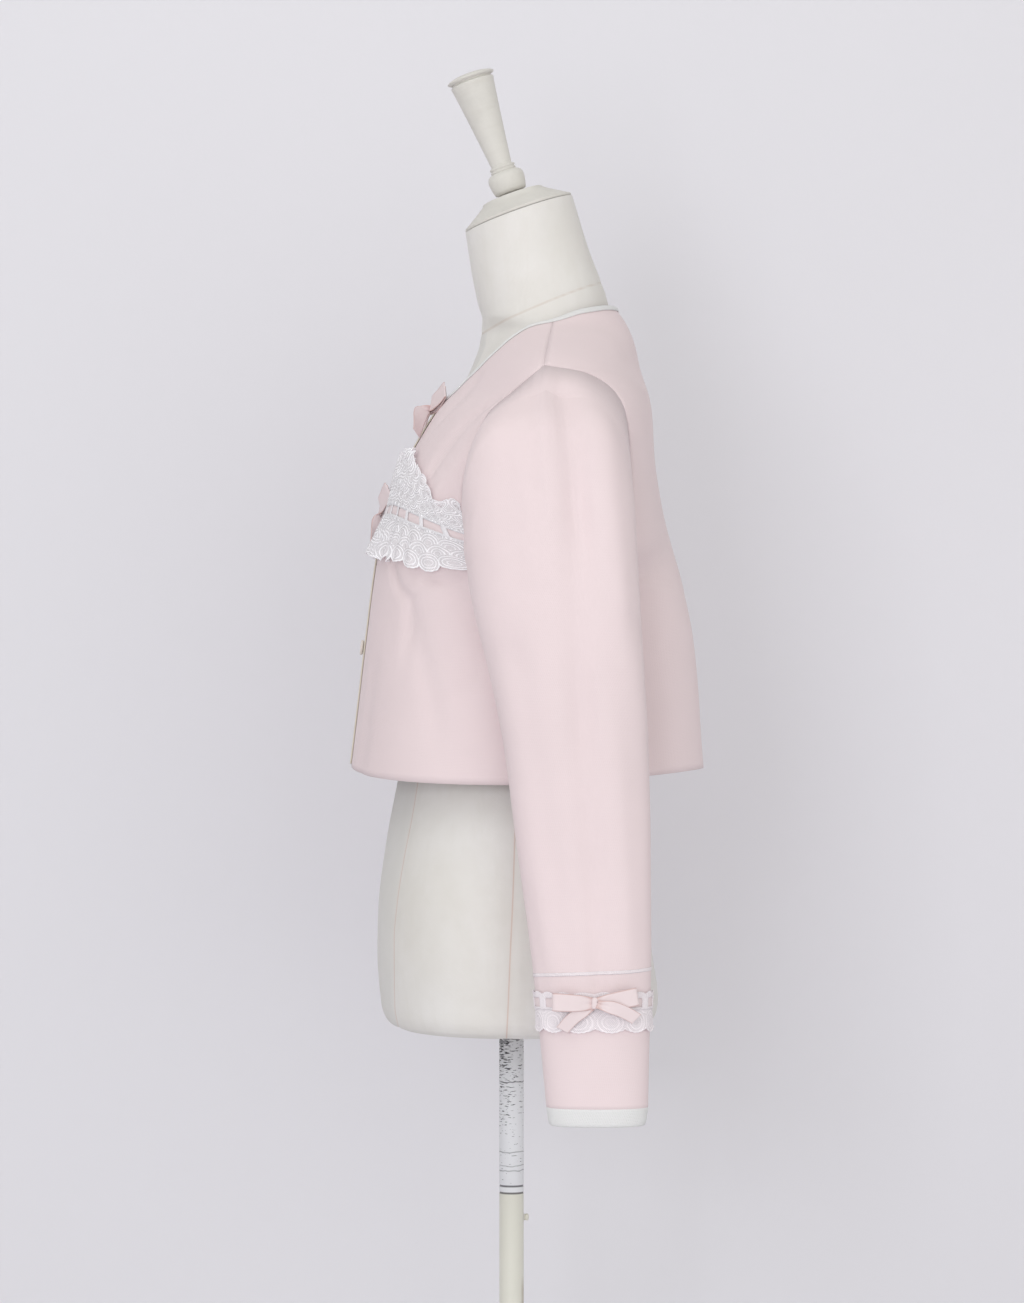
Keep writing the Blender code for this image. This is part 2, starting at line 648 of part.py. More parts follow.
def neck_trim(collection, paint, front, back):
    """White edging on the neckline: round from the left front's centre over the back to the right front."""
    edges = [front[::-1][:2], back[::-1][:2, 1:-1], mirrored(front)[::-1][:2]]
    upper = np.concatenate([grid[0] for grid in edges])
    ends = np.concatenate([grid[1] for grid in edges]) - upper
    lower = upper + ends / np.linalg.norm(ends, axis=1, keepdims=True) * NECK_TRIM_WIDTH
    strip = np.array([lower, upper])
    raised = strip + grid_normals(strip) * TRIM_CLEARANCE
    cloth("neck_trim", raised, collection, paint["white_edge"], TRIM_WALL, 1.0)


def front_band(collection, paint, front):
    """Cream band down the centre front, over both fronts."""
    sheet = Sheet(front)
    rows = []
    heights = front[:, 0, 2].copy()
    heights[-1] -= BAND_BELOW_NECK
    for height in heights:
        edge_share = BAND_HALF_WIDTH / lengths_along(front[0])[-1]
        side = sheet.at(edge_share, height, TRIM_CLEARANCE)
        middle = sheet.at(0.0, height, TRIM_CLEARANCE)
        middle[0] = 0.0
        side[0] = BAND_HALF_WIDTH
        rows.append([side * np.array([-1.0, 1.0, 1.0]), middle, side])
    cloth("front_band", np.array(rows), collection, paint["cream_edge"], TRIM_WALL, 1.0)


def turned(name, profile, collection, made_material, steps, axis_matrix, start=0.0):
    """A turned piece: a profile of radius and distance along the axis, in millimetres."""
    vertices = [(p.radius * MILLIMETRE, 0.0, start + p.along * MILLIMETRE) for p in profile]
    edges = [(i, i + 1) for i in range(len(vertices) - 1)]
    mesh = bpy.data.meshes.new(name)
    mesh.from_pydata(vertices, edges, [])
    thing = new_object(name, mesh, collection, made_material, smooth=False)
    screw = thing.modifiers.new("Turn", "SCREW")
    screw.steps = steps
    screw.render_steps = steps
    screw.use_merge_vertices = True
    screw.merge_threshold = 0.00001
    screw.use_smooth_shade = True
    thing.matrix_world = axis_matrix
    return thing


def frame_matrix(origin, sideways, up, out):
    """Placement with local X sideways, local Y along out and local Z up."""
    rows = Matrix((sideways, out, up)).transposed().to_4x4()
    rows.translation = origin
    return rows


def ribbon_piece(name, path, widths, across, collection, made_material):
    """A ribbon that follows a path, with its width along one direction at each point."""
    grid = np.array([[p - a * w / 2.0, p + a * w / 2.0] for p, w, a in zip(path, widths, across)])
    return cloth(name, grid, collection, made_material, RIBBON_WALL, 0.0)


def bow(name, matrix, shape, collection, guides, paint):
    """A ribbon bow: a knot, two loops and two tails, made one body."""
    half = Vector(BOW_KNOT) / 2.0
    mesh = bpy.data.meshes.new(name)
    corners = [
        (x * half.x, y * half.y + half.y + 0.0002, z * half.z)
        for x in (-1, 1)
        for y in (-1, 1)
        for z in (-1, 1)
    ]
    sides = [(0, 1, 3, 2), (4, 6, 7, 5), (0, 4, 5, 1), (2, 3, 7, 6), (0, 2, 6, 4), (1, 5, 7, 3)]
    mesh.from_pydata(corners, [], sides)
    knot = new_object(name, mesh, collection, paint["ribbon"])
    knot.matrix_world = matrix
    bevel = knot.modifiers.new("Round", "BEVEL")
    bevel.width = BOW_KNOT_ROUND
    bevel.segments = 2
    up = np.array([0.0, 0.0, 1.0])
    for side, (tail_side, tail_down, tail_out) in zip((1.0, -1.0), shape.tail_ends):
        loop_path = []
        for p in BOW_LOOP:
            reach = p.sideways / BOW_LOOP[4].sideways
            length = 1.0 + (shape.size - 1.0) * ease(reach)
            depth = 1.0 + (shape.depth - 1.0) * ease(reach)
            sideways = side * p.sideways * length * MILLIMETRE
            loop_path.append(np.array([sideways, p.out * depth * MILLIMETRE, shape.rise * reach**1.3]))
        widths = [p.width * MILLIMETRE for p in BOW_LOOP]
        loop = ribbon_piece(f"{name}_loop", loop_path, widths, [up] * len(widths), guides, paint["ribbon"])
        tail_end = np.array([tail_side, tail_out, tail_down])
        tail_start = np.array(TAIL_START) * np.array([side, 1.0, 1.0])
        run = tail_end - tail_start
        along = run / np.linalg.norm(run)
        beside = np.cross(along, np.array([0.0, 1.0, 0.0]))
        beside = beside / np.linalg.norm(beside)
        tail_path = []
        for share in np.linspace(0.0, 1.0, 5):
            bulge = TAIL_BULGE * math.sin(math.pi * share)
            tail_path.append(tail_start + run * share + np.array([0.0, bulge, 0.0]))
        tail_widths = np.linspace(TAIL_START_WIDTH, BOW_RIBBON, 5)
        tail = ribbon_piece(f"{name}_tail", tail_path, tail_widths, [beside] * 5, guides, paint["ribbon"])
        for piece in (loop, tail):
            piece.matrix_world = matrix
            piece.hide_render = True
            piece.display_type = "WIRE"
            join = knot.modifiers.new("Join", "BOOLEAN")
            join.operation = "UNION"
            join.solver = "EXACT"
            join.object = piece
    return knot


def surface_frame(point, up, out):
    """Placement on a surface from its point and two directions."""
    out = Vector(out).normalized()
    up = (Vector(up) - out * Vector(up).dot(out)).normalized()
    return frame_matrix(Vector(point), up.cross(out) * -1.0, up, out)


def loft(name, rings, collection, made_material):
    """A closed solid through rings of points, with flat ends."""
    mesh = grid_mesh(name, np.concatenate([rings, rings[:, :1]], axis=1), closed=True)
    count = rings.shape[1]
    vertices = [tuple(v.co) for v in mesh.vertices]
    faces = [tuple(p.vertices) for p in mesh.polygons]
    faces.append(tuple(range(count))[::-1])
    faces.append(tuple(range(len(vertices) - count, len(vertices))))
    mesh.clear_geometry()
    mesh.from_pydata(vertices, [], faces)
    mesh.update()
    thing = new_object(name, mesh, collection, made_material, smooth=False)
    mesh.shade_smooth()
    mesh.set_sharp_from_angle(angle=math.radians(50.0))
    return thing


def form_rings():
    """Sections of the dress form from the underside to the top of the neck."""
    sections = list(FORM_TORSO)
    for height, widest in FORM_SHOULDERS:
        above = height + FORM_DROP
        sections.append(
            FormSection(
                height,
                min(float(column(BODY_SECTIONS, "half_width", above)) - 0.001, widest),
                float(column(BODY_SECTIONS, "front", above)) + FORM_INSET,
                float(column(BODY_SECTIONS, "back", above)) - FORM_INSET,
                float(column(BODY_SECTIONS, "front_power", above)),
                0.0,
            )
        )
    sections += list(FORM_NECK)
    rings = []
    for s in sections:
        t = np.linspace(0.0, 2.0 * math.pi, 400)
        middle = (s.front + s.back) / 2.0
        if 1.0 < s.height < FORM_NECK[0].height:
            middle = float(column(BODY_SECTIONS, "middle", s.height))
        depth = np.where(np.cos(t) > 0.0, middle - s.front, s.back - middle)
        back_power = s.power + 0.3 if s.height < FORM_SHOULDERS[0].height else s.power
        if FORM_SHOULDERS[0].height <= s.height < FORM_NECK[0].height:
            back_power = float(column(BODY_SECTIONS, "back_power", s.height + FORM_DROP))
        power = np.where(np.cos(t) > 0.0, s.power, back_power)
        x = s.half_width * signed_power(np.sin(t), 2.0 / power)
        y = middle - depth * signed_power(np.cos(t), 2.0 / power)
        z = s.height + math.tan(math.radians(s.tilt)) * (y - middle)
        dense = np.stack([x, y, z], axis=-1)
        rings.append(resample(dense, np.linspace(0.0, 1.0, FORM_COLUMNS + 1))[:-1])
    return np.array(rings)


def stand(collection, paint):
    """Dress form, cap, finial, pole, its stud and the round base."""
    loft("form_torso", form_rings(), collection, paint["linen"])
    lean = Matrix.Rotation(math.radians(NECK_LEAN), 4, "X")
    axis = Matrix.Translation((0.0, NECK_TOP_Y, NECK_TOP_Z)) @ lean
    turned("neck_cap", CAP_PROFILE, collection, paint["cream_wood"], 28, axis, SEAM_GAP)
    turned("finial", FINIAL_PROFILE, collection, paint["cream_wood"], 20, axis, CAP_HEIGHT + 2.0 * SEAM_GAP)
    foot = BASE_THICKNESS + COLLAR_HEIGHT
    bpy.ops.mesh.primitive_cylinder_add(vertices=24, radius=POLE_RADIUS, depth=1.0)
    pole = bpy.context.active_object
    top = FORM_TORSO[0].height - SEAM_GAP
    bottom = foot + SEAM_GAP
    for vertex in pole.data.vertices:
        vertex.co.z = top if vertex.co.z > 0.0 else bottom
    adopt(pole, "pole", collection, paint["cream_paint"])
    base_profile = (
        Turned(0.0, foot / MILLIMETRE),
        Turned(COLLAR_RADIUS / MILLIMETRE - 2.0, foot / MILLIMETRE),
        Turned(COLLAR_RADIUS / MILLIMETRE, foot / MILLIMETRE - 2.0),
        Turned(COLLAR_RADIUS / MILLIMETRE, BASE_THICKNESS / MILLIMETRE + 3.0),
        Turned(COLLAR_RADIUS / MILLIMETRE + 4.0, BASE_THICKNESS / MILLIMETRE + 0.5),
        Turned(BASE_RADIUS / MILLIMETRE - 5.0, BASE_THICKNESS / MILLIMETRE - 1.5),
        Turned(BASE_RADIUS / MILLIMETRE, BASE_THICKNESS / MILLIMETRE - 5.0),
        Turned(BASE_RADIUS / MILLIMETRE, 0.0),
        Turned(0.0, 0.0),
    )
    turned("base_plate", base_profile, collection, paint["cream_paint"], 36, Matrix.Identity(4))
    bpy.ops.mesh.primitive_cylinder_add(vertices=12, radius=STUD_RADIUS, depth=STUD_LENGTH)
    stud = bpy.context.active_object
    for vertex in stud.data.vertices:
        vertex.co = Vector((vertex.co.x, vertex.co.z, vertex.co.y))
        vertex.co += Vector((0.0, POLE_RADIUS + SEAM_GAP + STUD_LENGTH / 2.0, STUD_HEIGHT))
    stud.data.flip_normals()
    adopt(stud, "pole_stud", collection, paint["cream_paint"])


def adopt(thing, name, collection, made_material):
    """A primitive moved into the collection, named and given its material."""
    for holder in list(thing.users_collection):
        holder.objects.unlink(thing)
    collection.objects.link(thing)
    thing.name = name
    thing.data.name = name
    thing.data.materials.append(made_material)
    thing.data.shade_smooth()
    thing.data.set_sharp_from_angle(angle=math.radians(40.0))


def button(collection, paint, front):
    """A small domed button on the front band."""
    sheet = Sheet(front)
    on_band = TRIM_CLEARANCE + TRIM_WALL + SEAM_GAP
    spot = sheet.at(0.0, BUTTON_HEIGHT, on_band)
    spot[0] = 0.0
    radius = BUTTON_RADIUS / MILLIMETRE
    height = BUTTON_THICKNESS / MILLIMETRE
    profile = (
        Turned(0.0, height - 0.5),
        Turned(radius * 0.55, height - 0.5),
        Turned(radius * 0.75, height),
        Turned(radius * 0.93, height - 0.5),
        Turned(radius, height * 0.45),
        Turned(radius * 0.8, 0.0),
        Turned(0.0, 0.0),
    )
    above = sheet.at(0.0, BUTTON_HEIGHT + 0.01, on_band)
    up = Vector(above - spot)
    up.x = 0.0
    up.normalize()
    out = Vector((0.0, -up.z, up.y))
    sideways = up.cross(out)
    matrix = Matrix((sideways, up, out)).transposed().to_4x4()
    matrix.translation = Vector(spot)
    turned("button", profile, collection, paint["pearl"], 20, matrix)


def cuff_trims(collection, guides, paint, sleeve, sign_name):
    """White line, lace, ribbon and bow round one cuff; sleeve is the left sleeve's sheet."""
    flip = sign_name == "right"

    def place(grid):
        return mirrored(grid) if flip else grid

    def ring(heights, out, columns):
        return np.array([[sleeve.at(u, h, out) for u in columns] for h in heights])

    even = np.linspace(0.0, 1.0, SLEEVE_COLUMNS + 1)
    line_heights = (CUFF_LINE_HEIGHT - CUFF_LINE_WIDTH / 2.0, CUFF_LINE_HEIGHT + CUFF_LINE_WIDTH / 2.0)
    line = ring(line_heights, SEAM_GAP, even)
    cloth(f"cuff_line_{sign_name}", place(line), collection, paint["white_edge"], 0.0010, 1.0, closed=True)
    ribbon_heights = (CUFF_LADDER_BOTTOM - 0.0005, CUFF_LADDER_TOP + 0.0005)
    ribbon = ring(ribbon_heights, SEAM_GAP, even)
    cloth(f"cuff_ribbon_{sign_name}", place(ribbon), collection, paint["ribbon"], RIBBON_WALL, 1.0, closed=True)

    slot = 0.5 / CUFF_SLOTS_PER_HALF
    for half, start in (("front", 0.0), ("back", 0.5)):
        column_share = 1.0 / SLEEVE_COLUMNS
        marks = [start + 0.002]
        for i in range(CUFF_SLOTS_PER_HALF):
            corner = 0.5 if i % 2 else 1.0
            marks.append(start + i * slot + CUFF_BAR * column_share)
            marks.append(start + i * slot + corner * column_share)
            marks.append(start + (i + 1) * slot)
        marks[-1] -= 0.002
        rows = []
        for base, scallop, out in (
            (CUFF_LACE_BOTTOM, -CUFF_SCALLOP, 0.0038),
            ((CUFF_LACE_BOTTOM + CUFF_LADDER_BOTTOM) / 2.0, 0.0, 0.0026),
            (CUFF_LADDER_BOTTOM, 0.0, 0.0018),
            (CUFF_LADDER_TOP, 0.0, 0.0018),
            (CUFF_LACE_TOP, CUFF_SCALLOP * 0.5, 0.0018),
        ):
            row = []
            for u in marks:
                wave = abs(math.sin(math.pi * (u - start) / slot))
                row.append(sleeve.at(u % 1.0, base + scallop * wave, out))
            rows.append(row)
        holes = {(2, 3 * i + k) for i in range(CUFF_SLOTS_PER_HALF) for k in (1, 2)}
        holes.discard((2, len(marks) - 2))
        grid = np.array(rows)
        if flip:
            holes = {(i, len(marks) - 2 - j) for i, j in holes}
        cloth(
            f"cuff_lace_{half}_{sign_name}", place(grid), collection, paint["lace"], LACE_WALL, 1.0, holes=holes
        )
    knot = sleeve.at(0.5, CUFF_BOW_HEIGHT, CUFF_BOW_CLEARANCE)
    side = -1.0 if flip else 1.0
    knot[0] *= side
    matrix = surface_frame(knot, (0.0, 0.0, 1.0), (side, 0.0, 0.0))
    bow(f"cuff_bow_{sign_name}", matrix, CUFF_BOW, collection, guides, paint)


def cuff_edges(sleeve_points):
    """The white end band's grid, below the sleeve."""
    sheet = Sheet(sleeve_points, closed=True)
    even = np.linspace(0.0, 1.0, SLEEVE_COLUMNS + 1)
    top = np.array([sheet.at(u, CUFF_EDGE_TOP + 0.001, 0.0) for u in even])
    rows = []
    for height, pull in ((CUFF_EDGE_BOTTOM, 0.985), (CUFF_EDGE_TOP, 1.0)):
        row = top.copy()
        middle = (top.max(axis=0) + top.min(axis=0)) / 2.0
        row = middle + (row - middle) * pull
        row[:, 2] = height
        rows.append(row)
    return np.array(rows)


def cardigan(collection, guides, paint):
    """All of the cardigan's pieces."""
    front = folded(half_panel(True, FRONT_COLUMNS), FRONT_FOLDS)
    cloth("front_left", front, collection, paint["knit"], KNIT_WALL)
    cloth("front_right", mirrored(front), collection, paint["knit"], KNIT_WALL)
    half_back = half_panel(False, BACK_HALF_COLUMNS)
    whole_back = np.concatenate([half_back[:, :0:-1], mirrored(half_back)[:, ::-1]], axis=1)
    back = folded(whole_back, BACK_FOLDS)
    cloth("back", back, collection, paint["knit"], KNIT_WALL)
    neck_trim(collection, paint, front, back)
    front_band(collection, paint, front)
    button(collection, paint, front)
    sleeve = folded(sleeve_grid(front, half_back), SLEEVE_FOLDS, closed=True)
    edge = cuff_edges(sleeve)
    front_sheet = Sheet(front)
    sleeve_sheet = Sheet(sleeve, closed=True)
    for sign_name in ("left", "right"):
        flip = sign_name == "right"
        wall = mirrored(sleeve) if flip else sleeve
        band = mirrored(edge) if flip else edge
        cloth(f"sleeve_{sign_name}", wall, collection, paint["knit"], KNIT_WALL, closed=True)
        cloth(f"cuff_edge_{sign_name}", band, collection, paint["white_edge"], KNIT_WALL, closed=True)
        front_trims(collection, paint, front_sheet, sign_name)
        cuff_trims(collection, guides, paint, sleeve_sheet, sign_name)
    for name, height, clear, shape in (
        ("neck_bow", NECK_BOW_HEIGHT, NECK_BOW_CLEARANCE, NECK_BOW),
        ("bust_bow", BUST_BOW_HEIGHT, BUST_BOW_CLEARANCE, BUST_BOW),
    ):
        low = front_sheet.at(0.0, height - BOW_SPAN, 0.0)
        here = front_sheet.at(0.0, height, 0.0)
        slope = Vector(here - low)
        slope.x = 0.0
        out = Vector((0.0, -slope.z, slope.y)).normalized()
        spot = Vector((0.0, here[1], here[2])) + out * clear
        bow(name, surface_frame(spot, slope, out), shape, collection, guides, paint)


def main():
    for thing in list(bpy.data.objects):
        bpy.data.objects.remove(thing, do_unlink=True)
    collection = bpy.data.collections.new("lace_cardigan_on_dress_form")
    guides = bpy.data.collections.new("cutters")
    for holder in (collection, guides):
        bpy.context.scene.collection.children.link(holder)
    paint = {
        "knit": material("knit", (0.81, 0.68, 0.70), 0.9),
        "lace": material("lace", (0.84, 0.84, 0.88), 0.85),
        "ribbon": material("ribbon", (0.78, 0.62, 0.60), 0.55),
        "white_edge": material("white_edge", (0.84, 0.84, 0.84), 0.9),
        "cream_edge": material("cream_edge", (0.72, 0.65, 0.52), 0.8),
        "pearl": material("pearl", (0.80, 0.74, 0.70), 0.3),
        "linen": material("linen", (0.74, 0.72, 0.68), 0.95),
        "cream_wood": material("cream_wood", (0.64, 0.62, 0.57), 0.6),
        "cream_paint": material("cream_paint", (0.69, 0.67, 0.60), 0.45),
    }
    stand(collection, paint)
    cardigan(collection, guides, paint)


main()
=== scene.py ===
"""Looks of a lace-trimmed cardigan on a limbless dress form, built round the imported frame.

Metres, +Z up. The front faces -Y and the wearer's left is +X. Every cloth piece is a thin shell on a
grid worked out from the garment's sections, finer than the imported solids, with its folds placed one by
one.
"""
import math
from collections import namedtuple

import bmesh
import bpy
import numpy as np
from mathutils import Matrix, Vector, noise


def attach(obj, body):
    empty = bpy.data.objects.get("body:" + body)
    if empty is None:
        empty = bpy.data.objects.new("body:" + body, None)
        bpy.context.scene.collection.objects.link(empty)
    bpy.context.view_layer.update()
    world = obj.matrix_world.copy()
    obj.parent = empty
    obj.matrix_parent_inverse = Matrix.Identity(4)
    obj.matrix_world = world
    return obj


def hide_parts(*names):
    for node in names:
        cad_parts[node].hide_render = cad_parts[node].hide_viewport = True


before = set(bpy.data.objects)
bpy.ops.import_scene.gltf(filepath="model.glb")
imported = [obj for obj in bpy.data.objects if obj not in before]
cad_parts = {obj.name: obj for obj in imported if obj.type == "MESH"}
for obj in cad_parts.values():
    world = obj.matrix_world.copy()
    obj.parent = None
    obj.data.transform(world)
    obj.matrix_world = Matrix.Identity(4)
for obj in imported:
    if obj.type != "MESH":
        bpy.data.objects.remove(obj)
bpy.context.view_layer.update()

MILLIMETRE = 0.001

# The camera stands level at the wearer's left, as far off as the photograph's perspective says.
CAMERA_PLACE = (3.6, 0.0004, 1.023)
CAMERA_LENS = 118.4
CAMERA_SENSOR = 36.0

# Cloth and seams. A wall keeps an even thickness in its bends only from a certain thickness on.
KNIT_WALL = 0.0015
TRIM_WALL = 0.0012
LACE_WALL = 0.0005
RIBBON_WALL = 0.0005
EDGING_WALL = 0.0005
TAPE_WALL = 0.0004
STITCH_WALL = 0.0003
EVEN_WALL_FROM = 0.0010
SEAM_GAP = 0.0003
EDGE_TRIM = 0.00003
TAPE_DEPTH = 0.0019
TAPE_COLUMNS = 2
TAPE_ROWS = 1
SHOULDER_EDGE_TRIM = 0.00003

# Heights of the cardigan's edges
HEM_CENTRE = 0.9288
HEM_SIDE = 0.9160
UNDERARM = 1.0980
SHOULDER_POINT = 1.2520
NECK_POINT = 1.2965
NECK_FRONT = 1.2300
NECK_BACK = 1.3115

# Grid sizes, a few times finer than the solids'
FINER = 4
FRONT_COLUMNS = 12 * FINER
BACK_HALF_COLUMNS = 9 * FINER
SIDE_ROWS = 7 * FINER
ARMHOLE_ROWS = 9 * FINER
SHOULDER_ROWS = 4 * FINER
SLEEVE_COLUMNS = 2 * ARMHOLE_ROWS
SHOULDER_SHARE = (SIDE_ROWS + ARMHOLE_ROWS) / (SIDE_ROWS + ARMHOLE_ROWS + SHOULDER_ROWS)
SHOULDER_RISE = 1.2
HEM_BEND = 1.2
HEM_BEND_BACK = -0.25
SLEEVE_ROWS = 140

# Horizontal sections of the cardigan's body, outside the cloth. Half width is at the sides, front and
# back are Y, middle is the Y of the widest place, and a power of 2 is an ellipse, more is squarer.
Section = namedtuple("Section", "height half_width front back middle front_power back_power")
BODY_SECTIONS = (
    Section(0.900, 0.1720, -0.1375, 0.1620, 0.012, 2.30, 2.60),
    Section(0.928, 0.1700, -0.1340, 0.1600, 0.012, 2.30, 2.60),
    Section(0.973, 0.1660, -0.1285, 0.1560, 0.014, 2.30, 2.70),
    Section(1.034, 0.1600, -0.1213, 0.1490, 0.018, 2.30, 2.90),
    Section(1.100, 0.1565, -0.1126, 0.1345, 0.022, 2.35, 3.20),
    Section(1.150, 0.1620, -0.1010, 0.1240, 0.026, 2.30, 3.40),
    Section(1.186, 0.1700, -0.0850, 0.1188, 0.028, 2.10, 3.40),
    Section(1.219, 0.1815, -0.0660, 0.1172, 0.027, 1.75, 3.00),
    Section(1.236, 0.1820, -0.0545, 0.1158, 0.026, 1.50, 2.50),
    Section(1.246, 0.1790, -0.0480, 0.1145, 0.026, 1.42, 2.20),
    Section(1.252, 0.1740, -0.0440, 0.1135, 0.026, 1.40, 2.10),
    Section(1.260, 0.1610, -0.0388, 0.1115, 0.027, 1.42, 2.05),
    Section(1.275, 0.1250, -0.0290, 0.1070, 0.030, 1.45, 2.00),
    Section(1.2965, 0.0700, -0.0160, 0.0975, 0.034, 1.70, 2.00),
    Section(1.313, 0.0600, -0.0080, 0.0860, 0.034, 2.00, 2.00),
)

# How far round the body each panel reaches beside the armhole: degrees from the centre front and back.
Armhole = namedtuple("Armhole", "height front_angle back_angle")
ARMHOLE_EDGE = (
    Armhole(1.098, 90.0, 90.0),
    Armhole(1.106, 78.0, 73.0),
    Armhole(1.122, 68.5, 60.0),
    Armhole(1.145, 62.5, 55.0),
    Armhole(1.180, 60.0, 52.7),
    Armhole(1.212, 58.5, 53.0),
    Armhole(1.232, 67.0, 57.0),
    Armhole(1.246, 79.0, 69.0),
    Armhole(1.252, 90.0, 90.0),
)

# The neckline: height of the edge at each angle from the centre front, and from the centre back.
NeckEdge = namedtuple("NeckEdge", "angle height")
NECKLINE_FRONT = (
    NeckEdge(0.0, NECK_FRONT),
    NeckEdge(19.0, 1.2400),
    NeckEdge(28.6, 1.2535),
    NeckEdge(38.5, 1.2680),
    NeckEdge(50.0, 1.2820),
    NeckEdge(67.0, 1.2922),
    NeckEdge(90.0, NECK_POINT),
)
NECKLINE_BACK = (
    NeckEdge(0.0, NECK_BACK),
    NeckEdge(30.0, 1.3108),
    NeckEdge(65.0, 1.3060),
    NeckEdge(90.0, NECK_POINT),
)


# Soft folds. Across and along are fractions of the panel or sleeve, from its first column
# and row; a fold with a negative depth is a ridge.
Fold = namedtuple("Fold", "across_start along_start across_end along_end width depth")
FRONT_FOLDS = (
    Fold(0.472, 0.60, 0.540, 0.18, 0.024, 0.0034),
    Fold(0.505, 0.36, 0.735, 0.04, 0.032, 0.0026),
    Fold(0.600, 0.43, 0.880, 0.21, 0.028, 0.0028),
    Fold(0.990, 0.72, 0.680, 0.57, 0.026, 0.0032),
    Fold(0.990, 0.62, 0.790, 0.52, 0.030, -0.0018),
    Fold(0.620, 0.95, 0.360, 0.78, 0.060, 0.0025),
    Fold(0.980, 0.30, 0.740, 0.13, 0.030, 0.0012),
    Fold(0.120, 0.40, 0.200, 0.04, 0.035, 0.0010),
    Fold(0.300, 0.30, 0.280, -0.10, 0.060, 0.0022),
)
BACK_FOLDS = (
    Fold(0.165, 0.50, 0.215, -0.30, 0.074, 0.0185),
    Fold(0.315, 0.55, 0.380, -0.25, 0.052, -0.0040),
    Fold(0.500, 0.50, 0.495, -0.25, 0.070, 0.0080),
    Fold(0.835, 0.49, 0.785, -0.30, 0.070, 0.0170),
    Fold(0.670, 0.52, 0.615, -0.25, 0.050, -0.0036),
    Fold(0.100, 0.40, 0.220, 0.30, 0.016, 0.0014),
    Fold(0.900, 0.41, 0.770, 0.27, 0.018, 0.0016),
    Fold(0.380, 0.52, 0.360, 0.05, 0.030, -0.0014),
    Fold(0.420, 0.78, 0.560, 0.72, 0.030, 0.0016),
    Fold(0.080, 0.86, 0.920, 0.86, 0.060, 0.0036),
)
SLEEVE_FOLDS = (
    Fold(0.519, 1.16, 0.552, 0.58, 0.024, 0.0068),
    Fold(0.540, 0.78, 0.507, 0.38, 0.026, 0.0046),
    Fold(0.507, 0.54, 0.517, 0.06, 0.024, 0.0036),
    Fold(0.500, 1.06, 0.500, 0.74, 0.009, -0.0014),
    Fold(0.482, 1.12, 0.466, 0.62, 0.013, 0.0024),
    Fold(0.600, 1.02, 0.628, 0.48, 0.038, -0.0032),
    Fold(0.575, 0.50, 0.600, 0.14, 0.034, -0.0020),
    Fold(0.455, 1.02, 0.410, 0.55, 0.030, 0.0018),
    Fold(0.360, 0.62, 0.440, 0.16, 0.034, 0.0016),
    Fold(0.880, 0.80, 0.950, 0.45, 0.060, 0.0035),
    Fold(0.200, 0.86, 0.330, 0.74, 0.025, 0.0016),
    Fold(0.160, 0.79, 0.300, 0.69, 0.020, 0.0012),
    Fold(0.240, 0.58, 0.440, 0.50, 0.022, 0.0010),
    Fold(0.760, 0.62, 0.600, 0.56, 0.020, 0.0011),
    Fold(0.300, 0.30, 0.360, 0.10, 0.030, 0.0009),
)
FRONT_FOLDS_RIGHT = (
    Fold(0.450, 0.54, 0.545, 0.26, 0.018, 0.0030),
    Fold(0.520, 0.34, 0.690, 0.12, 0.024, 0.0022),
    Fold(0.590, 0.44, 0.650, 0.18, 0.036, -0.0018),
    Fold(0.600, 0.46, 0.880, 0.24, 0.022, 0.0024),
    Fold(0.990, 0.70, 0.700, 0.58, 0.028, 0.0028),
    Fold(0.580, 0.95, 0.400, 0.80, 0.055, 0.0024),
    Fold(0.980, 0.27, 0.700, 0.11, 0.034, 0.0013),
    Fold(0.150, 0.36, 0.180, 0.05, 0.032, 0.0009),
    Fold(0.330, 0.28, 0.300, -0.10, 0.055, 0.0020),
)
SLEEVE_FOLDS_RIGHT = (
    Fold(0.516, 1.12, 0.555, 0.67, 0.019, 0.0040),
    Fold(0.545, 0.76, 0.512, 0.45, 0.020, 0.0032),
    Fold(0.515, 0.54, 0.508, 0.13, 0.024, 0.0026),
    Fold(0.490, 1.05, 0.492, 0.78, 0.010, -0.0012),
    Fold(0.595, 1.02, 0.640, 0.52, 0.036, -0.0030),
    Fold(0.450, 1.02, 0.400, 0.58, 0.034, 0.0017),
    Fold(0.370, 0.58, 0.450, 0.20, 0.030, 0.0014),
    Fold(0.900, 0.78, 0.930, 0.42, 0.055, 0.0033),
    Fold(0.220, 0.84, 0.310, 0.71, 0.022, 0.0015),
    Fold(0.260, 0.55, 0.420, 0.46, 0.024, 0.0011),
    Fold(0.740, 0.59, 0.580, 0.50, 0.022, 0.0012),
)
CAP_EASE_LENGTH = 0.075
CAP_EASE = 0.97
CREASE_GRAIN = 0.00035
CREASE_SIZE = 0.035

# The knit's stitches: width of a wale and height of a course
WALE = 0.0016
COURSE = 0.0012

# Neck edging, front band, button, and the end band's upper edge on the sleeve
NECK_TRIM_WIDTH = 0.0042
NECK_TRIM_CROWN = 0.0007
NECK_TRIM_LIFT = 0.0001
TRIM_CLEARANCE = 0.0004
BAND_HALF_WIDTH = 0.0080
BAND_BELOW_NECK = 0.0052
BAND_STITCH_PLACE = 0.0064
BAND_STITCH_WIDTH = 0.0006
BAND_STITCH_DEPTH = 0.00025
BUTTON_HEIGHT = 1.0260
CUFF_EDGE_TOP = 0.6622
CUFF_EDGE_LAP = 0.0012

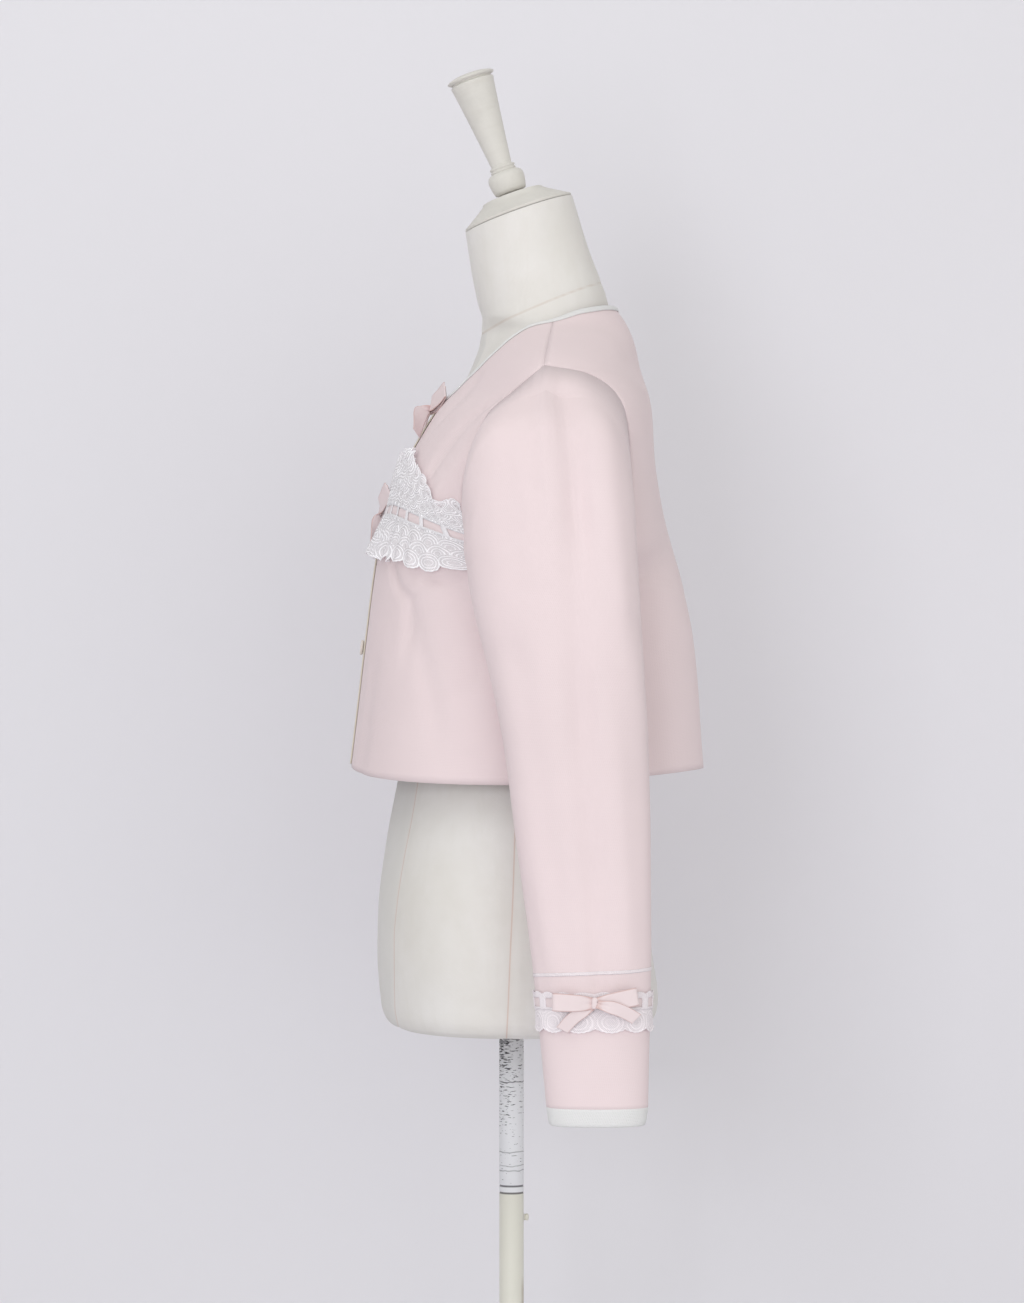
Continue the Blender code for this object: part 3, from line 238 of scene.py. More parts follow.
# Lace over the bust. Along runs from the centre front (0) to the armhole (1), heights in metres.
LaceEdge = namedtuple("LaceEdge", "along header_top stand_off flounce_bottom flare")
LACE_EDGES = (
    LaceEdge(0.00, 1.1840, 0.0050, 1.1035, 0.0046),
    LaceEdge(0.10, 1.1862, 0.0042, 1.1030, 0.0046),
    LaceEdge(0.25, 1.1885, 0.0034, 1.1022, 0.0046),
    LaceEdge(0.43, 1.1888, 0.0028, 1.0985, 0.0044),
    LaceEdge(0.55, 1.1800, 0.0025, 1.0965, 0.0042),
    LaceEdge(0.64, 1.1735, 0.0023, 1.0962, 0.0038),
    LaceEdge(0.72, 1.1655, 0.0021, 1.0920, 0.0034),
    LaceEdge(0.80, 1.1570, 0.0018, 1.0880, 0.0030),
    LaceEdge(0.87, 1.1462, 0.0016, 1.0892, 0.0026),
    LaceEdge(0.90, 1.1442, 0.0016, 1.0888, 0.0024),
    LaceEdge(0.95, 1.1478, 0.0016, 1.0880, 0.0018),
    LaceEdge(1.00, 1.1420, 0.0008, 1.0886, 0.0010),
)
LadderPoint = namedtuple("LadderPoint", "along height")
LADDER_LINE = (
    LadderPoint(0.00, 1.1405),
    LadderPoint(0.38, 1.1400),
    LadderPoint(0.52, 1.1376),
    LadderPoint(0.70, 1.1312),
    LadderPoint(0.83, 1.1245),
    LadderPoint(0.92, 1.1175),
    LadderPoint(1.00, 1.1110),
)
LADDER_HEIGHT = 0.0068
LADDER_RAIL = 0.0026
HEADER_WIDTH = 0.0500
FLOUNCE_WIDTH = 0.0400
LACE_START = 0.004
LACE_REACH = 0.992
FLOUNCE_REACH = 0.880
SLOTS_PER_FRONT = 8
BAR_SHARE = 0.20
LACE_CLEARANCE = 0.0015
LACE_OVER_BAND = 0.0024
LACE_RUN = 0.150
LACE_FULLNESS = 1.25
LACE_GATHER = 0.75
SCALLOP = 0.0165
SCALLOP_DEPTH = 0.0045
PICOT = 0.0033
PICOT_DEPTH = 0.0006
PLEAT = 0.0022
PLEAT_PITCH = 0.0145
PLEAT_LEAN = 0.008
HEADER_WAVE = 0.0016
PUCKER = 0.0044
PUCKER_DEPTH = 0.00022
RIBBON_CLEARANCE = 0.0003
RIBBON_HEIGHT = 0.0095
RIBBON_FULLNESS = 0.0011

# The embroidery: arcs round each scallop's centre, small eyelets, the net, and the cells of the lace's grid
ARC_SPACING = 0.0027
ARC_RELIEF = 0.00045
ARC_INNER = 0.0016
ARC_OUTER = 0.0105
ROW_STEP = 0.0098
SCALLOP_CENTRE = 0.0078
EYELET = 0.0008
EYELET_FROM = 0.045
EYELET_RING = 0.0026
EYELETS_IN_RING = 3
EDGE_CORD = 0.0010
EDGE_RELIEF = 0.00035
NET_PITCH = 0.0013
LACE_CELL = 0.0008

# Cuff trimmings: their heights on the sleeve, counts, and how far they stand off
CUFF_LINE_HEIGHT = 0.7706
CUFF_LINE_WIDTH = 0.0028
CUFF_LINE_RISE = 0.0060
CUFF_LACE_TOP = 0.7560
CUFF_LADDER_TOP = 0.7515
CUFF_LADDER_BOTTOM = 0.7430
CUFF_LADDER_MIDDLE = (CUFF_LADDER_TOP + CUFF_LADDER_BOTTOM) / 2.0
CUFF_LACE_BOTTOM = 0.7280
CUFF_SCALLOPS = 12
CUFF_SCALLOP_DEPTH = 0.0035
CUFF_SLOTS = 12
CUFF_LINE_LIFT = 0.00005
CUFF_STITCH_DEPTH = 0.00018
CUFF_STITCHES = 150.0
CUFF_RIBBON_FULLNESS = 0.0007
CUFF_LADDER_LIFT = 0.0013
CUFF_PICOT = 0.0018
CUFF_LACE_LAP = 0.0012

# The white end band, from inside the sleeve's end round its lower edge and up: height, and distance inward.
BandPoint = namedtuple("BandPoint", "height inset")
BAND_PROFILE = (
    BandPoint(0.6500, 0.0060),
    BandPoint(0.6494, 0.0040),
    BandPoint(0.6498, 0.0028),
    BandPoint(0.6508, 0.0020),
    BandPoint(0.6530, 0.0014),
    BandPoint(0.6565, 0.0009),
    BandPoint(0.6600, 0.0003),
    BandPoint(0.6622, -0.0001),
    BandPoint(0.6638, -0.0001),
    BandPoint(0.6646, 0.0004),
    BandPoint(0.6658, 0.0012),
)

# The bows' loop in millimetres, seen from above: it runs out from the knot and back, and width is the
# ribbon's width there.
LoopPoint = namedtuple("LoopPoint", "sideways out width")
BOW_LOOP = (
    LoopPoint(1.0, 4.2, 8.4),
    LoopPoint(4.0, 4.8, 9.8),
    LoopPoint(8.0, 5.6, 11.6),
    LoopPoint(14.0, 6.4, 13.0),
    LoopPoint(22.0, 6.6, 13.8),
    LoopPoint(29.0, 5.8, 14.0),
    LoopPoint(32.4, 4.8, 13.8),
    LoopPoint(33.4, 3.5, 13.6),
    LoopPoint(32.4, 2.2, 13.8),
    LoopPoint(27.0, 1.4, 13.8),
    LoopPoint(17.5, 1.1, 13.0),
    LoopPoint(8.0, 1.2, 11.0),
    LoopPoint(1.0, 1.6, 8.0),
)

# The bows' ribbon, knot and tails in metres; the tails' gather is a share of their length
BOW_RIBBON = 0.0105
BOW_KNOT = (0.0068, 0.0058, 0.0094)
TAIL_SLANT = 0.0045
TAIL_DROOP = 0.0016
TAIL_GATHER = 0.22
LOOP_GATHER = 0.0085
RIBBON_CREASE = 0.00045
RIBBON_CUP = 0.0010

# Each bow. Size and depth are its loops' length and thickness against BOW_LOOP, rises say how far each
# loop goes up, and roll is the angle by which the loops turn over. Sags say how far each loop's end stands
# off, on the cuff from the bow's own plane and on the chest from the cloth. A tail starts and ends at a
# place sideways, up and out from the knot, bulges between them, and is turned edge-on from one angle to
# another along its length.
BowShape = namedtuple(
    "BowShape",
    "size depth rises roll sags tail_starts tail_ends tail_bulge tail_width twist_start twist_end",
)
CUFF_BOW = BowShape(
    size=1.00,
    depth=0.90,
    rises=(0.0008, 0.0046),
    roll=0.0,
    sags=(0.0, 0.0),
    tail_starts=((0.0016, -0.0020, 0.0030), (-0.0014, -0.0003, 0.0066)),
    tail_ends=((0.0258, -0.0212, 0.0014), (-0.0325, -0.0122, 0.0046)),
    tail_bulge=0.0024,
    tail_width=0.0102,
    twist_start=0.0,
    twist_end=0.0,
)
NECK_BOW = BowShape(
    size=0.92,
    depth=0.34,
    rises=(0.0160, 0.0160),
    roll=34.0,
    sags=(0.0044, 0.0044),
    tail_starts=((0.0016, 0.0000, 0.0030), (-0.0030, 0.0000, 0.0030)),
    tail_ends=((0.0330, -0.0230, 0.0050), (-0.0400, -0.0250, 0.0060)),
    tail_bulge=0.0060,
    tail_width=0.0132,
    twist_start=84.0,
    twist_end=50.0,
)
BUST_BOW = BowShape(
    size=0.80,
    depth=0.50,
    rises=(0.0150, 0.0150),
    roll=34.0,
    sags=(0.0058, 0.0058),
    tail_starts=((0.0030, -0.0020, 0.0050), (-0.0040, -0.0020, 0.0040)),
    tail_ends=((0.0080, -0.0265, 0.0060), (-0.0100, -0.0260, 0.0050)),
    tail_bulge=0.0010,
    tail_width=0.0105,
    twist_start=60.0,
    twist_end=40.0,
)
CUFF_BOW_HEIGHT = 0.7475
CUFF_BOW_CLEARANCE = 0.0036
NECK_BOW_HEIGHT = 1.2235
NECK_BOW_CLEARANCE = 0.0019
BUST_BOW_HEIGHT = 1.1400
BUST_BOW_CLEARANCE = 0.0016
BOW_SPAN = 0.012
CHEST_SPAN = 0.170
LOOP_REACH = 0.026

# Sections of the sleeve, from the armhole to the wrist: the outer and inner arm in X and Z, and the front
# and back edges in Y. A section slants where its outer arm is higher than its inner arm.
SleeveSection = namedtuple("SleeveSection", "outer outer_height inner inner_height front back")
SLEEVE_SECTIONS = (
    SleeveSection(0.2030, 1.2390, 0.1600, 1.0890, -0.0405, 0.0955),
    SleeveSection(0.2180, 1.2150, 0.1635, 1.0720, -0.0403, 0.0972),
    SleeveSection(0.2300, 1.1730, 0.1665, 1.0460, -0.0385, 0.0993),
    SleeveSection(0.2370, 1.1130, 0.1695, 1.0110, -0.0300, 0.1020),
    SleeveSection(0.2400, 1.0420, 0.1730, 0.9700, -0.0170, 0.1050),
    SleeveSection(0.2420, 0.9650, 0.1770, 0.9220, -0.0055, 0.1085),
    SleeveSection(0.2430, 0.8830, 0.1830, 0.8630, 0.0035, 0.1100),
    SleeveSection(0.2430, 0.8000, 0.1905, 0.7930, 0.0139, 0.1104),
    SleeveSection(0.2430, 0.7300, 0.1940, 0.7290, 0.0213, 0.1093),
    SleeveSection(0.2425, 0.6630, 0.1960, 0.6630, 0.0276, 0.1077),
)
SLEEVE_POWER = 2.15

# Dress form. Rows run upwards; tilt leans a section towards the front.
FormSection = namedtuple("FormSection", "height half_width front back power tilt")
FORM_TORSO = (
    FormSection(0.7110, 0.1500, -0.0950, 0.1080, 2.30, 0.0),
    FormSection(0.7150, 0.1580, -0.1030, 0.1160, 2.30, 0.0),
    FormSection(0.7240, 0.1625, -0.1080, 0.1215, 2.30, 0.0),
    FormSection(0.7370, 0.1635, -0.1100, 0.1225, 2.30, 0.0),
    FormSection(0.7720, 0.1650, -0.1124, 0.1175, 2.30, 0.0),
    FormSection(0.8100, 0.1640, -0.1115, 0.1130, 2.30, 0.0),
    FormSection(0.8600, 0.1570, -0.1056, 0.1065, 2.25, 0.0),
    FormSection(0.9170, 0.1410, -0.0950, 0.0975, 2.20, 0.0),
    FormSection(0.9700, 0.1230, -0.0850, 0.0900, 2.15, 0.0),
    FormSection(1.0200, 0.1150, -0.0805, 0.0880, 2.10, 0.0),
    FormSection(1.0700, 0.1220, -0.0880, 0.0950, 2.15, 0.0),
    FormSection(1.1080, 0.1320, -0.1020, 0.1040, 2.25, 0.0),
)
FormShoulder = namedtuple("FormShoulder", "height widest")
FORM_SHOULDERS = (
    FormShoulder(1.1400, 0.1400),
    FormShoulder(1.1650, 0.1460),
    FormShoulder(1.1900, 0.1530),
    FormShoulder(1.2120, 0.1610),
    FormShoulder(1.2320, 0.1700),
    FormShoulder(1.2440, 0.1700),
    FormShoulder(1.2560, 0.1700),
    FormShoulder(1.2680, 0.1700),
    FormShoulder(1.2800, 0.1700),
    FormShoulder(1.2900, 0.1700),
)
FORM_INSET = 0.0034
FORM_DROP = 0.0036
FORM_NECK = (
    FormSection(1.3020, 0.0595, -0.0245, 0.0855, 2.0, 0.0),
    FormSection(1.3200, 0.0535, -0.0275, 0.0775, 2.0, 8.0),
    FormSection(1.3480, 0.0495, -0.0325, 0.0650, 2.0, 14.0),
    FormSection(1.3900, 0.0465, -0.0385, 0.0510, 2.0, 19.5),
)
FORM_COLUMNS = 160
FORM_ROWS = 300

# Turned parts, as radius and distance along the axis in millimetres. The cap and the finial are turned
# about the neck's leaning axis, and the button about its own.
Turned = namedtuple("Turned", "radius along")
CAP_PROFILE = (
    Turned(0.0, 17.0),
    Turned(25.0, 17.0),
    Turned(26.3, 16.4),
    Turned(26.8, 14.8),
    Turned(45.6, 3.0),
    Turned(47.0, 2.4),
    Turned(47.0, 0.6),
    Turned(46.2, 0.0),
    Turned(0.0, 0.0),
)
FINIAL_PROFILE = (
    Turned(0.0, 106.6),
    Turned(12.0, 106.0),
    Turned(18.4, 104.2),
    Turned(20.3, 102.9),
    Turned(20.4, 102.4),
    Turned(19.6, 101.4),
    Turned(16.6, 100.5),
    Turned(16.4, 99.9),
    Turned(18.3, 98.9),
    Turned(18.7, 97.8),
    Turned(18.0, 95.0),
    Turned(13.2, 60.0),
    Turned(9.0, 26.0),
    Turned(8.9, 24.4),
    Turned(11.0, 23.6),
    Turned(11.0, 22.3),
    Turned(9.9, 21.4),
    Turned(10.9, 20.6),
    Turned(10.8, 19.6),
    Turned(10.2, 19.0),
    Turned(13.6, 17.8),
    Turned(15.4, 14.6),
    Turned(15.5, 10.6),
    Turned(14.4, 4.6),
    Turned(12.8, 0.0),
    Turned(0.0, 0.0),
)
BUTTON_PROFILE = (
    Turned(0.0, 2.05),
    Turned(2.73, 2.10),
    Turned(3.90, 2.45),
    Turned(4.81, 2.80),
    Turned(5.59, 2.75),
    Turned(6.24, 2.35),
    Turned(6.50, 1.40),
    Turned(6.045, 0.504),
    Turned(4.55, 0.0),
    Turned(0.0, 0.0),
)
NECK_TOP_Y = 0.00625
NECK_TOP_Z = 1.3900
NECK_LEAN = 19.5
CAP_HEIGHT = 0.0186

# Pole, base with its collar, and the stud, which is turned about a level axis behind the pole
POLE_RADIUS = 0.0102
BASE_PROFILE = (
    Turned(0.0, 40.0),
    Turned(20.0, 40.0),
    Turned(23.0, 39.6),
    Turned(24.0, 38.0),
    Turned(24.0, 16.0),
    Turned(24.6, 13.6),
    Turned(28.0, 12.5),
    Turned(60.0, 12.3),
    Turned(120.0, 11.7),
    Turned(182.0, 10.6),
    Turned(187.0, 9.6),
    Turned(190.0, 7.0),
    Turned(190.0, 1.2),
    Turned(189.0, 0.0),
    Turned(0.0, 0.0),
)
STUD_HEIGHT = 0.5480
STUD_PROFILE = (
    Turned(0.0, 4.0),
    Turned(1.8, 3.9),
    Turned(2.76, 3.3),
    Turned(3.0, 2.4),
    Turned(3.0, 2.0),
    Turned(2.7, 1.68),
    Turned(2.7, 0.0),
    Turned(0.0, 0.0),
)

# Seams of the form's cover on its left side, mirrored on the right: places in Y at each height. Below them,
# the front of its throat, which is fuller than the sections say.
FormSeam = namedtuple("FormSeam", "height princess side back_princess")
FORM_SEAMS = (
    FormSeam(0.7110, -0.0925, -0.0040, 0.0850),
    FormSeam(0.7165, -0.0938, -0.0038, 0.0890),
    FormSeam(0.7327, -0.0962, -0.0030, 0.0920),
    FormSeam(0.7871, -0.0965, -0.0007, 0.0900),
    FormSeam(0.8184, -0.0938, 0.0008, 0.0860),
    FormSeam(0.8530, -0.0885, 0.0020, 0.0810),
    FormSeam(0.8886, -0.0816, 0.0030, 0.0750),
    FormSeam(0.9170, -0.0771, 0.0035, 0.0700),
    FormSeam(1.0200, -0.0620, 0.0050, 0.0600),
    FormSeam(1.1000, -0.0750, 0.0120, 0.0700),
    FormSeam(1.2500, -0.0450, 0.0340, 0.0550),
    FormSeam(1.3200, -0.0200, 0.0340, 0.0600),
)
NECK_SEAM_HEIGHT = 1.3028
NECK_SEAM_SLOPE = 0.419
SEAM_LINE = 0.0005
SEAM_GROOVE = 0.0007
SEAM_GROOVE_WIDTH = 0.0022
NECK_GROOVE = 0.0005
NECK_GROOVE_WIDTH = 0.003
ThroatPoint = namedtuple("ThroatPoint", "height front")
FORM_THROAT = (
    ThroatPoint(1.2440, -0.0428),
    ThroatPoint(1.2560, -0.0360),
    ThroatPoint(1.2680, -0.0308),
    ThroatPoint(1.2800, -0.0268),
    ThroatPoint(1.2900, -0.0255),
)
THROAT_WIDTH = 0.028
NARROWEST_PANEL = 0.04

# Wear on the pole: chips from the form down, thin lines of height, width and strength, and two turned
# rings, cut to a height above or below their middle in metres and a depth in millimetres.
SCRATCH_TOP = 0.7000
SCRATCH_BOTTOM = 0.5760
POLE_LINES = ((0.6622, 0.0007, 0.7), (0.6034, 0.0006, 0.6), (0.5917, 0.0005, 0.5), (0.5875, 0.0006, 0.6))
POLE_RINGS = (0.5748, 0.5689)
POLE_RING_CUT = ((0.0009, 0.0), (0.0004, 0.35), (-0.0004, 0.35), (-0.0009, 0.0))

# Backdrop, air and lights: each light's name, place, aim, size, power and colour
WALL_X = -0.46
WALL_HEIGHT = 4.0
FLOOR_REACH = 6.0
BACKDROP_COLOUR = (0.775, 0.765, 0.805)
AIR_COLOUR = (0.945, 0.945, 0.905)
AIR_STRENGTH = 0.66
LIGHTS = (
    ("key_soft", (3.2, -0.80, 1.35), (0.0, 0.0, 1.05), (0.9, 0.9), 20.0, (0.94, 0.955, 1.0)),
    ("fill_soft", (2.9, 1.5, 1.2), (0.0, 0.0, 1.0), (2.4, 2.4), 16.0, (1.0, 0.985, 0.97)),
    ("floor_bounce", (2.2, -0.3, 0.2), (0.0, 0.0, 0.9), (1.6, 1.6), 7.0, (1.0, 0.99, 0.98)),
    ("overhead", (1.0, -0.5, 3.0), (0.0, 0.0, 1.2), (1.8, 1.8), 10.5, (0.97, 0.98, 1.0)),
)


def smooth_curve(keys, values, at):
    """Values on a smooth curve through the rows, with slopes that never overshoot."""
    keys = np.asarray(keys, float)
    values = np.asarray(values, float)
    rises = np.diff(values) / np.diff(keys)
    slopes = np.zeros(len(keys))
    slopes[0] = rises[0]
    slopes[-1] = rises[-1]
    for i in range(1, len(rises)):
        if rises[i - 1] * rises[i] > 0.0:
            slopes[i] = 2.0 * rises[i - 1] * rises[i] / (rises[i - 1] + rises[i])
    at = np.clip(np.asarray(at, float), keys[0], keys[-1])
    spot = np.clip(np.searchsorted(keys, at, side="right") - 1, 0, len(rises) - 1)
    step = keys[spot + 1] - keys[spot]
    t = (at - keys[spot]) / step
    start = values[spot] * (1.0 + 2.0 * t) * (1.0 - t) ** 2
    end = values[spot + 1] * t**2 * (3.0 - 2.0 * t)
    start_slope = slopes[spot] * step * t * (1.0 - t) ** 2
    end_slope = slopes[spot + 1] * step * t**2 * (t - 1.0)
    return start + end + start_slope + end_slope


def column(rows, name, at, key=None):
    """A named column of a table, read at a value of its first column."""
    keys = [getattr(row, key) if key else row[0] for row in rows]
    return smooth_curve(keys, [getattr(row, name) for row in rows], at)


def ease(t):
    """Smooth step from 0 to 1."""
    t = np.clip(t, 0.0, 1.0)
    return t * t * (3.0 - 2.0 * t)


def signed_power(value, power):
    """Power that keeps the sign."""
    return np.sign(value) * np.abs(value) ** power


def body_point(angle, height):
    """Points outside the body's cloth: degrees from the centre front, 90 at the left side, 180 behind."""
    sine = np.sin(np.radians(angle))
    cosine = np.cos(np.radians(angle))
    sections = {name: column(BODY_SECTIONS, name, height) for name in Section._fields[1:]}
    forward = cosine > 0.0
    depth = np.where(forward, sections["middle"] - sections["front"], sections["back"] - sections["middle"])
    power = np.where(forward, sections["front_power"], sections["back_power"])
    x = sections["half_width"] * signed_power(sine, 2.0 / power)
    y = sections["middle"] - depth * signed_power(cosine, 2.0 / power)
    return np.stack([x, y, np.broadcast_to(height, x.shape)], axis=-1)


def lengths_along(points):
    """Distance of each point from the first, along the line."""
    steps = np.linalg.norm(np.diff(points, axis=0), axis=1)
    return np.concatenate([[0.0], np.cumsum(steps)])


def resample(points, fractions, trim_start=0.0, trim_end=0.0):
    """Points at even fractions of a dense line's length, with its ends trimmed."""
    along = lengths_along(points)
    wanted = trim_start + np.asarray(fractions) * (along[-1] - trim_start - trim_end)
    return np.stack([np.interp(wanted, along, points[:, k]) for k in range(3)], axis=-1)


def panel_edge(is_front):
    """The panel's outer edge, hem to neck point, as rows of angle, height and edge trim."""
    angle_name = "front_angle" if is_front else "back_angle"
    rows = []
    for height in np.linspace(HEM_SIDE, UNDERARM, SIDE_ROWS + 1)[:-1]:
        rows.append((90.0, height, EDGE_TRIM))
    dense = np.linspace(UNDERARM, SHOULDER_POINT, 200)
    angles = column(ARMHOLE_EDGE, angle_name, dense)
    far_side = angles if is_front else 180.0 - angles
    points = body_point(far_side, dense)
    along = lengths_along(points)
    for share in np.linspace(0.0, 1.0, ARMHOLE_ROWS + 1)[:-1]:
        height = np.interp(share * along[-1], along, dense)
        rows.append((float(np.interp(height, dense, angles)), float(height), EDGE_TRIM))
    for height in np.linspace(SHOULDER_POINT, NECK_POINT, SHOULDER_ROWS + 1):
        rows.append((90.0, height, SHOULDER_EDGE_TRIM))
    return rows


def half_panel(is_front, columns):
    """Grid of points from the hem up to the neckline, and from the centre out to the side."""
    neckline = NECKLINE_FRONT if is_front else NECKLINE_BACK
    neck_height = NECK_FRONT if is_front else NECK_BACK
    hem_bend = HEM_BEND if is_front else HEM_BEND_BACK
    edge = panel_edge(is_front)
    fractions = np.linspace(0.0, 1.0, columns + 1)
    t = np.linspace(0.0, 1.0, 240)
    neck_angle = t * 90.0
    neck_rise = column(neckline, "height", neck_angle) - neck_height
    neck_share = neck_rise / (NECK_POINT - neck_height)
    grid = []
    for i, (angle, outer_height, trim) in enumerate(edge):
        v = i / (len(edge) - 1)
        centre_height = HEM_CENTRE + (neck_height - HEM_CENTRE) * v
        top_pull = ease((v - SHOULDER_SHARE) / (1.0 - SHOULDER_SHARE))
        bend = SHOULDER_RISE * ease((v - 0.4) / (SHOULDER_SHARE - 0.4)) + hem_bend * (1.0 - ease(v / 0.3))
        rise = 1.0 - (1.0 - t) ** (1.0 + bend)
        share = (1.0 - top_pull) * rise + top_pull * neck_share
        height = centre_height + (outer_height - centre_height) * share
        from_centre = angle * t
        around = from_centre if is_front else 180.0 - from_centre
        start = EDGE_TRIM if is_front else 0.0
        grid.append(resample(body_point(around, height), fractions, start, trim))
    return np.array(grid)


def mirrored(grid):
    """The same grid on the other side, with its faces still pointing out."""
    return grid[:, ::-1] * np.array([-1.0, 1.0, 1.0])


def on_side(flip, points):
    """The grid itself on the left, its mirror image on the right."""
    return mirrored(points) if flip else points


def turned_round(flip, *grids):
    """Columns in the mirror image's order on the right, for cells, coordinates and named values."""
    found = []
    for grid in grids:
        if isinstance(grid, dict):
            found.append({key: row[:, ::-1] if flip else row for key, row in grid.items()})
        else:
            found.append(grid[:, ::-1] if flip else grid)
    return found


def grid_normals(points, closed=False):
    """Unit directions out of a grid; seen from outside, its columns run to the right and its rows up."""
    if closed:
        ring = points[:, :-1]
        across = np.roll(ring, -1, axis=1) - np.roll(ring, 1, axis=1)
        across = np.concatenate([across, across[:, :1]], axis=1)
    else:
        across = np.gradient(points, axis=1)
    along = np.gradient(points, axis=0)
    normals = np.cross(across, along)
    return normals / np.maximum(np.linalg.norm(normals, axis=-1, keepdims=True), 1e-12)


def folded(points, folds, closed=False):
    """A grid pushed in along each soft fold; a closed grid's last row is a seam and stays."""
    rows, columns = points.shape[:2]
    across = np.linspace(0.0, 1.0, columns)[None, :]
    along = np.linspace(0.0, 1.0, rows)[:, None]
    depth = np.zeros((rows, columns))
    for fold in folds:
        run = np.array([fold.across_end - fold.across_start, fold.along_end - fold.along_start])
        length = np.hypot(*run)
        beside = (across - fold.across_start) * run[1] - (along - fold.along_start) * run[0]
        past = ((across - fold.across_start) * run[0] + (along - fold.along_start) * run[1]) / length**2
        fade = ease(np.clip(past, 0.0, 1.0) * 4.0) * ease((1.0 - np.clip(past, 0.0, 1.0)) * 4.0)
        depth = depth + fold.depth * fade * np.exp(-((beside / length / fold.width) ** 2))
    if closed:
        depth = depth * ease((1.0 - along) / 0.012)
    return points - grid_normals(points, closed) * depth[..., None]


class Surface:
    """A cloth surface that other pieces lie on, read at fractions across and at heights."""

    STEPS = 480

    def __init__(self, points, closed=False):
        normals = grid_normals(points, closed)
        self.low = points[..., 2].min()
        self.high = points[..., 2].max()
        heights = np.linspace(self.low, self.high, self.STEPS)
        self.table = np.empty((points.shape[1], self.STEPS, 6))
        for j in range(points.shape[1]):
            for k in range(3):
                self.table[j, :, k] = np.interp(heights, points[:, j, 2], points[:, j, k])
                self.table[j, :, 3 + k] = np.interp(heights, points[:, j, 2], normals[:, j, k])

    def at(self, across, height, out=0.0):
        """Points at fractions across and at heights, moved out by a distance."""
        across, height, out = np.broadcast_arrays(across, height, out)
        place = np.clip(across, 0.0, 1.0) * (self.table.shape[0] - 1)
        row = np.clip((height - self.low) / (self.high - self.low), 0.0, 1.0) * (self.STEPS - 1)
        j = np.minimum(place.astype(int), self.table.shape[0] - 2)
        i = np.minimum(row.astype(int), self.STEPS - 2)
        f = (place - j)[..., None]
        g = (row - i)[..., None]
        lower = self.table[j, i] * (1.0 - f) + self.table[j + 1, i] * f
        upper = self.table[j, i + 1] * (1.0 - f) + self.table[j + 1, i + 1] * f
        found = lower * (1.0 - g) + upper * g
        normal = found[..., 3:] / np.linalg.norm(found[..., 3:], axis=-1, keepdims=True)
        return found[..., :3] + normal * out[..., None]


def grained(points, closed=False):
    """The grid with the small unevenness that worn knit has."""
    normals = grid_normals(points, closed)
    depth = np.empty(points.shape[:2])
    for index in np.ndindex(*points.shape[:2]):
        spot = Vector(points[index]) / CREASE_SIZE
        depth[index] = noise.noise(Vector((spot.x, spot.y, spot.z * 0.5))) * CREASE_GRAIN
    if closed:
        depth[:, -1] = depth[:, 0]
    return points + normals * depth[..., None]


def cloth_lengths(points):
    """Distance along each row and up the middle column, for the weave's coordinates."""
    across = np.linalg.norm(np.diff(points, axis=1), axis=-1)
    across = np.concatenate([np.zeros((points.shape[0], 1)), np.cumsum(across, axis=1)], axis=1)
    up = np.linalg.norm(np.diff(points, axis=0), axis=-1)
    up = np.concatenate([np.zeros((1, points.shape[1])), np.cumsum(up, axis=0)], axis=0)
    return np.stack([across, up], axis=-1)


def build_mesh(name, vertices, faces, coordinates, values=None):
    """A mesh with its coordinates in metres, and named values on its points."""
    mesh = bpy.data.meshes.new(name)
    mesh.from_pydata([tuple(v) for v in vertices], [], faces)
    layer = mesh.uv_layers.new(name="UVMap")
    corner_points = np.empty(len(mesh.loops), int)
    mesh.loops.foreach_get("vertex_index", corner_points)
    layer.data.foreach_set("uv", np.asarray(coordinates, float)[corner_points].reshape(-1))
    for key, row in (values or {}).items():
        attribute = mesh.attributes.new(key, "FLOAT", "POINT")
        attribute.data.foreach_set("value", np.asarray(row, np.float32))
    mesh.shade_smooth()
    mesh.update()
    return mesh


def new_piece(name, mesh, paint, stands_for=()):
    """A piece of the scene: it rides on the frame and stands for its solids."""
    piece = bpy.data.objects.new(name, mesh)
    bpy.context.scene.collection.objects.link(piece)
    mesh.materials.append(paint)
    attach(piece, "root")
    if stands_for:
        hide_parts(*stands_for)
    return piece


def add_wall(piece, thickness, side):
    """A wall on an open surface: side -1 is inward, 0 both ways and 1 outward; a thin one isn't evened."""
    wall = piece.modifiers.new("Wall", "SOLIDIFY")
    wall.thickness = thickness
    wall.offset = side
    wall.use_rim = True
    wall.use_even_offset = thickness > EVEN_WALL_FROM
    wall.use_quality_normals = True


def cloth(name, points, paint, wall, side=-1.0, closed=False, cut=None, values=None, coordinates=None,
          stands_for=()):
    """A cloth piece on a grid; cut says which cells are left out."""
    rows, columns = points.shape[:2]
    if coordinates is None:
        coordinates = cloth_lengths(points)
    faces = grid_faces(rows, columns, cut)
    values = {key: row.reshape(-1) for key, row in (values or {}).items()}
    mesh = build_mesh(name, points.reshape(-1, 3), faces, coordinates.reshape(-1, 2), values)
    if closed or cut is not None:
        tidy_mesh(mesh, closed)
    piece = new_piece(name, mesh, paint, stands_for)
    add_wall(piece, wall, side)
    return piece


def grid_faces(rows, columns, cut=None):
    """Faces between a grid's points, without the cells that are cut out."""
    faces = []
    for i in range(rows - 1):
        for j in range(columns - 1):
            if cut is not None and cut[i, j]:
                continue
            low = i * columns + j
            faces.append((low, low + 1, low + columns + 1, low + columns))
    return faces


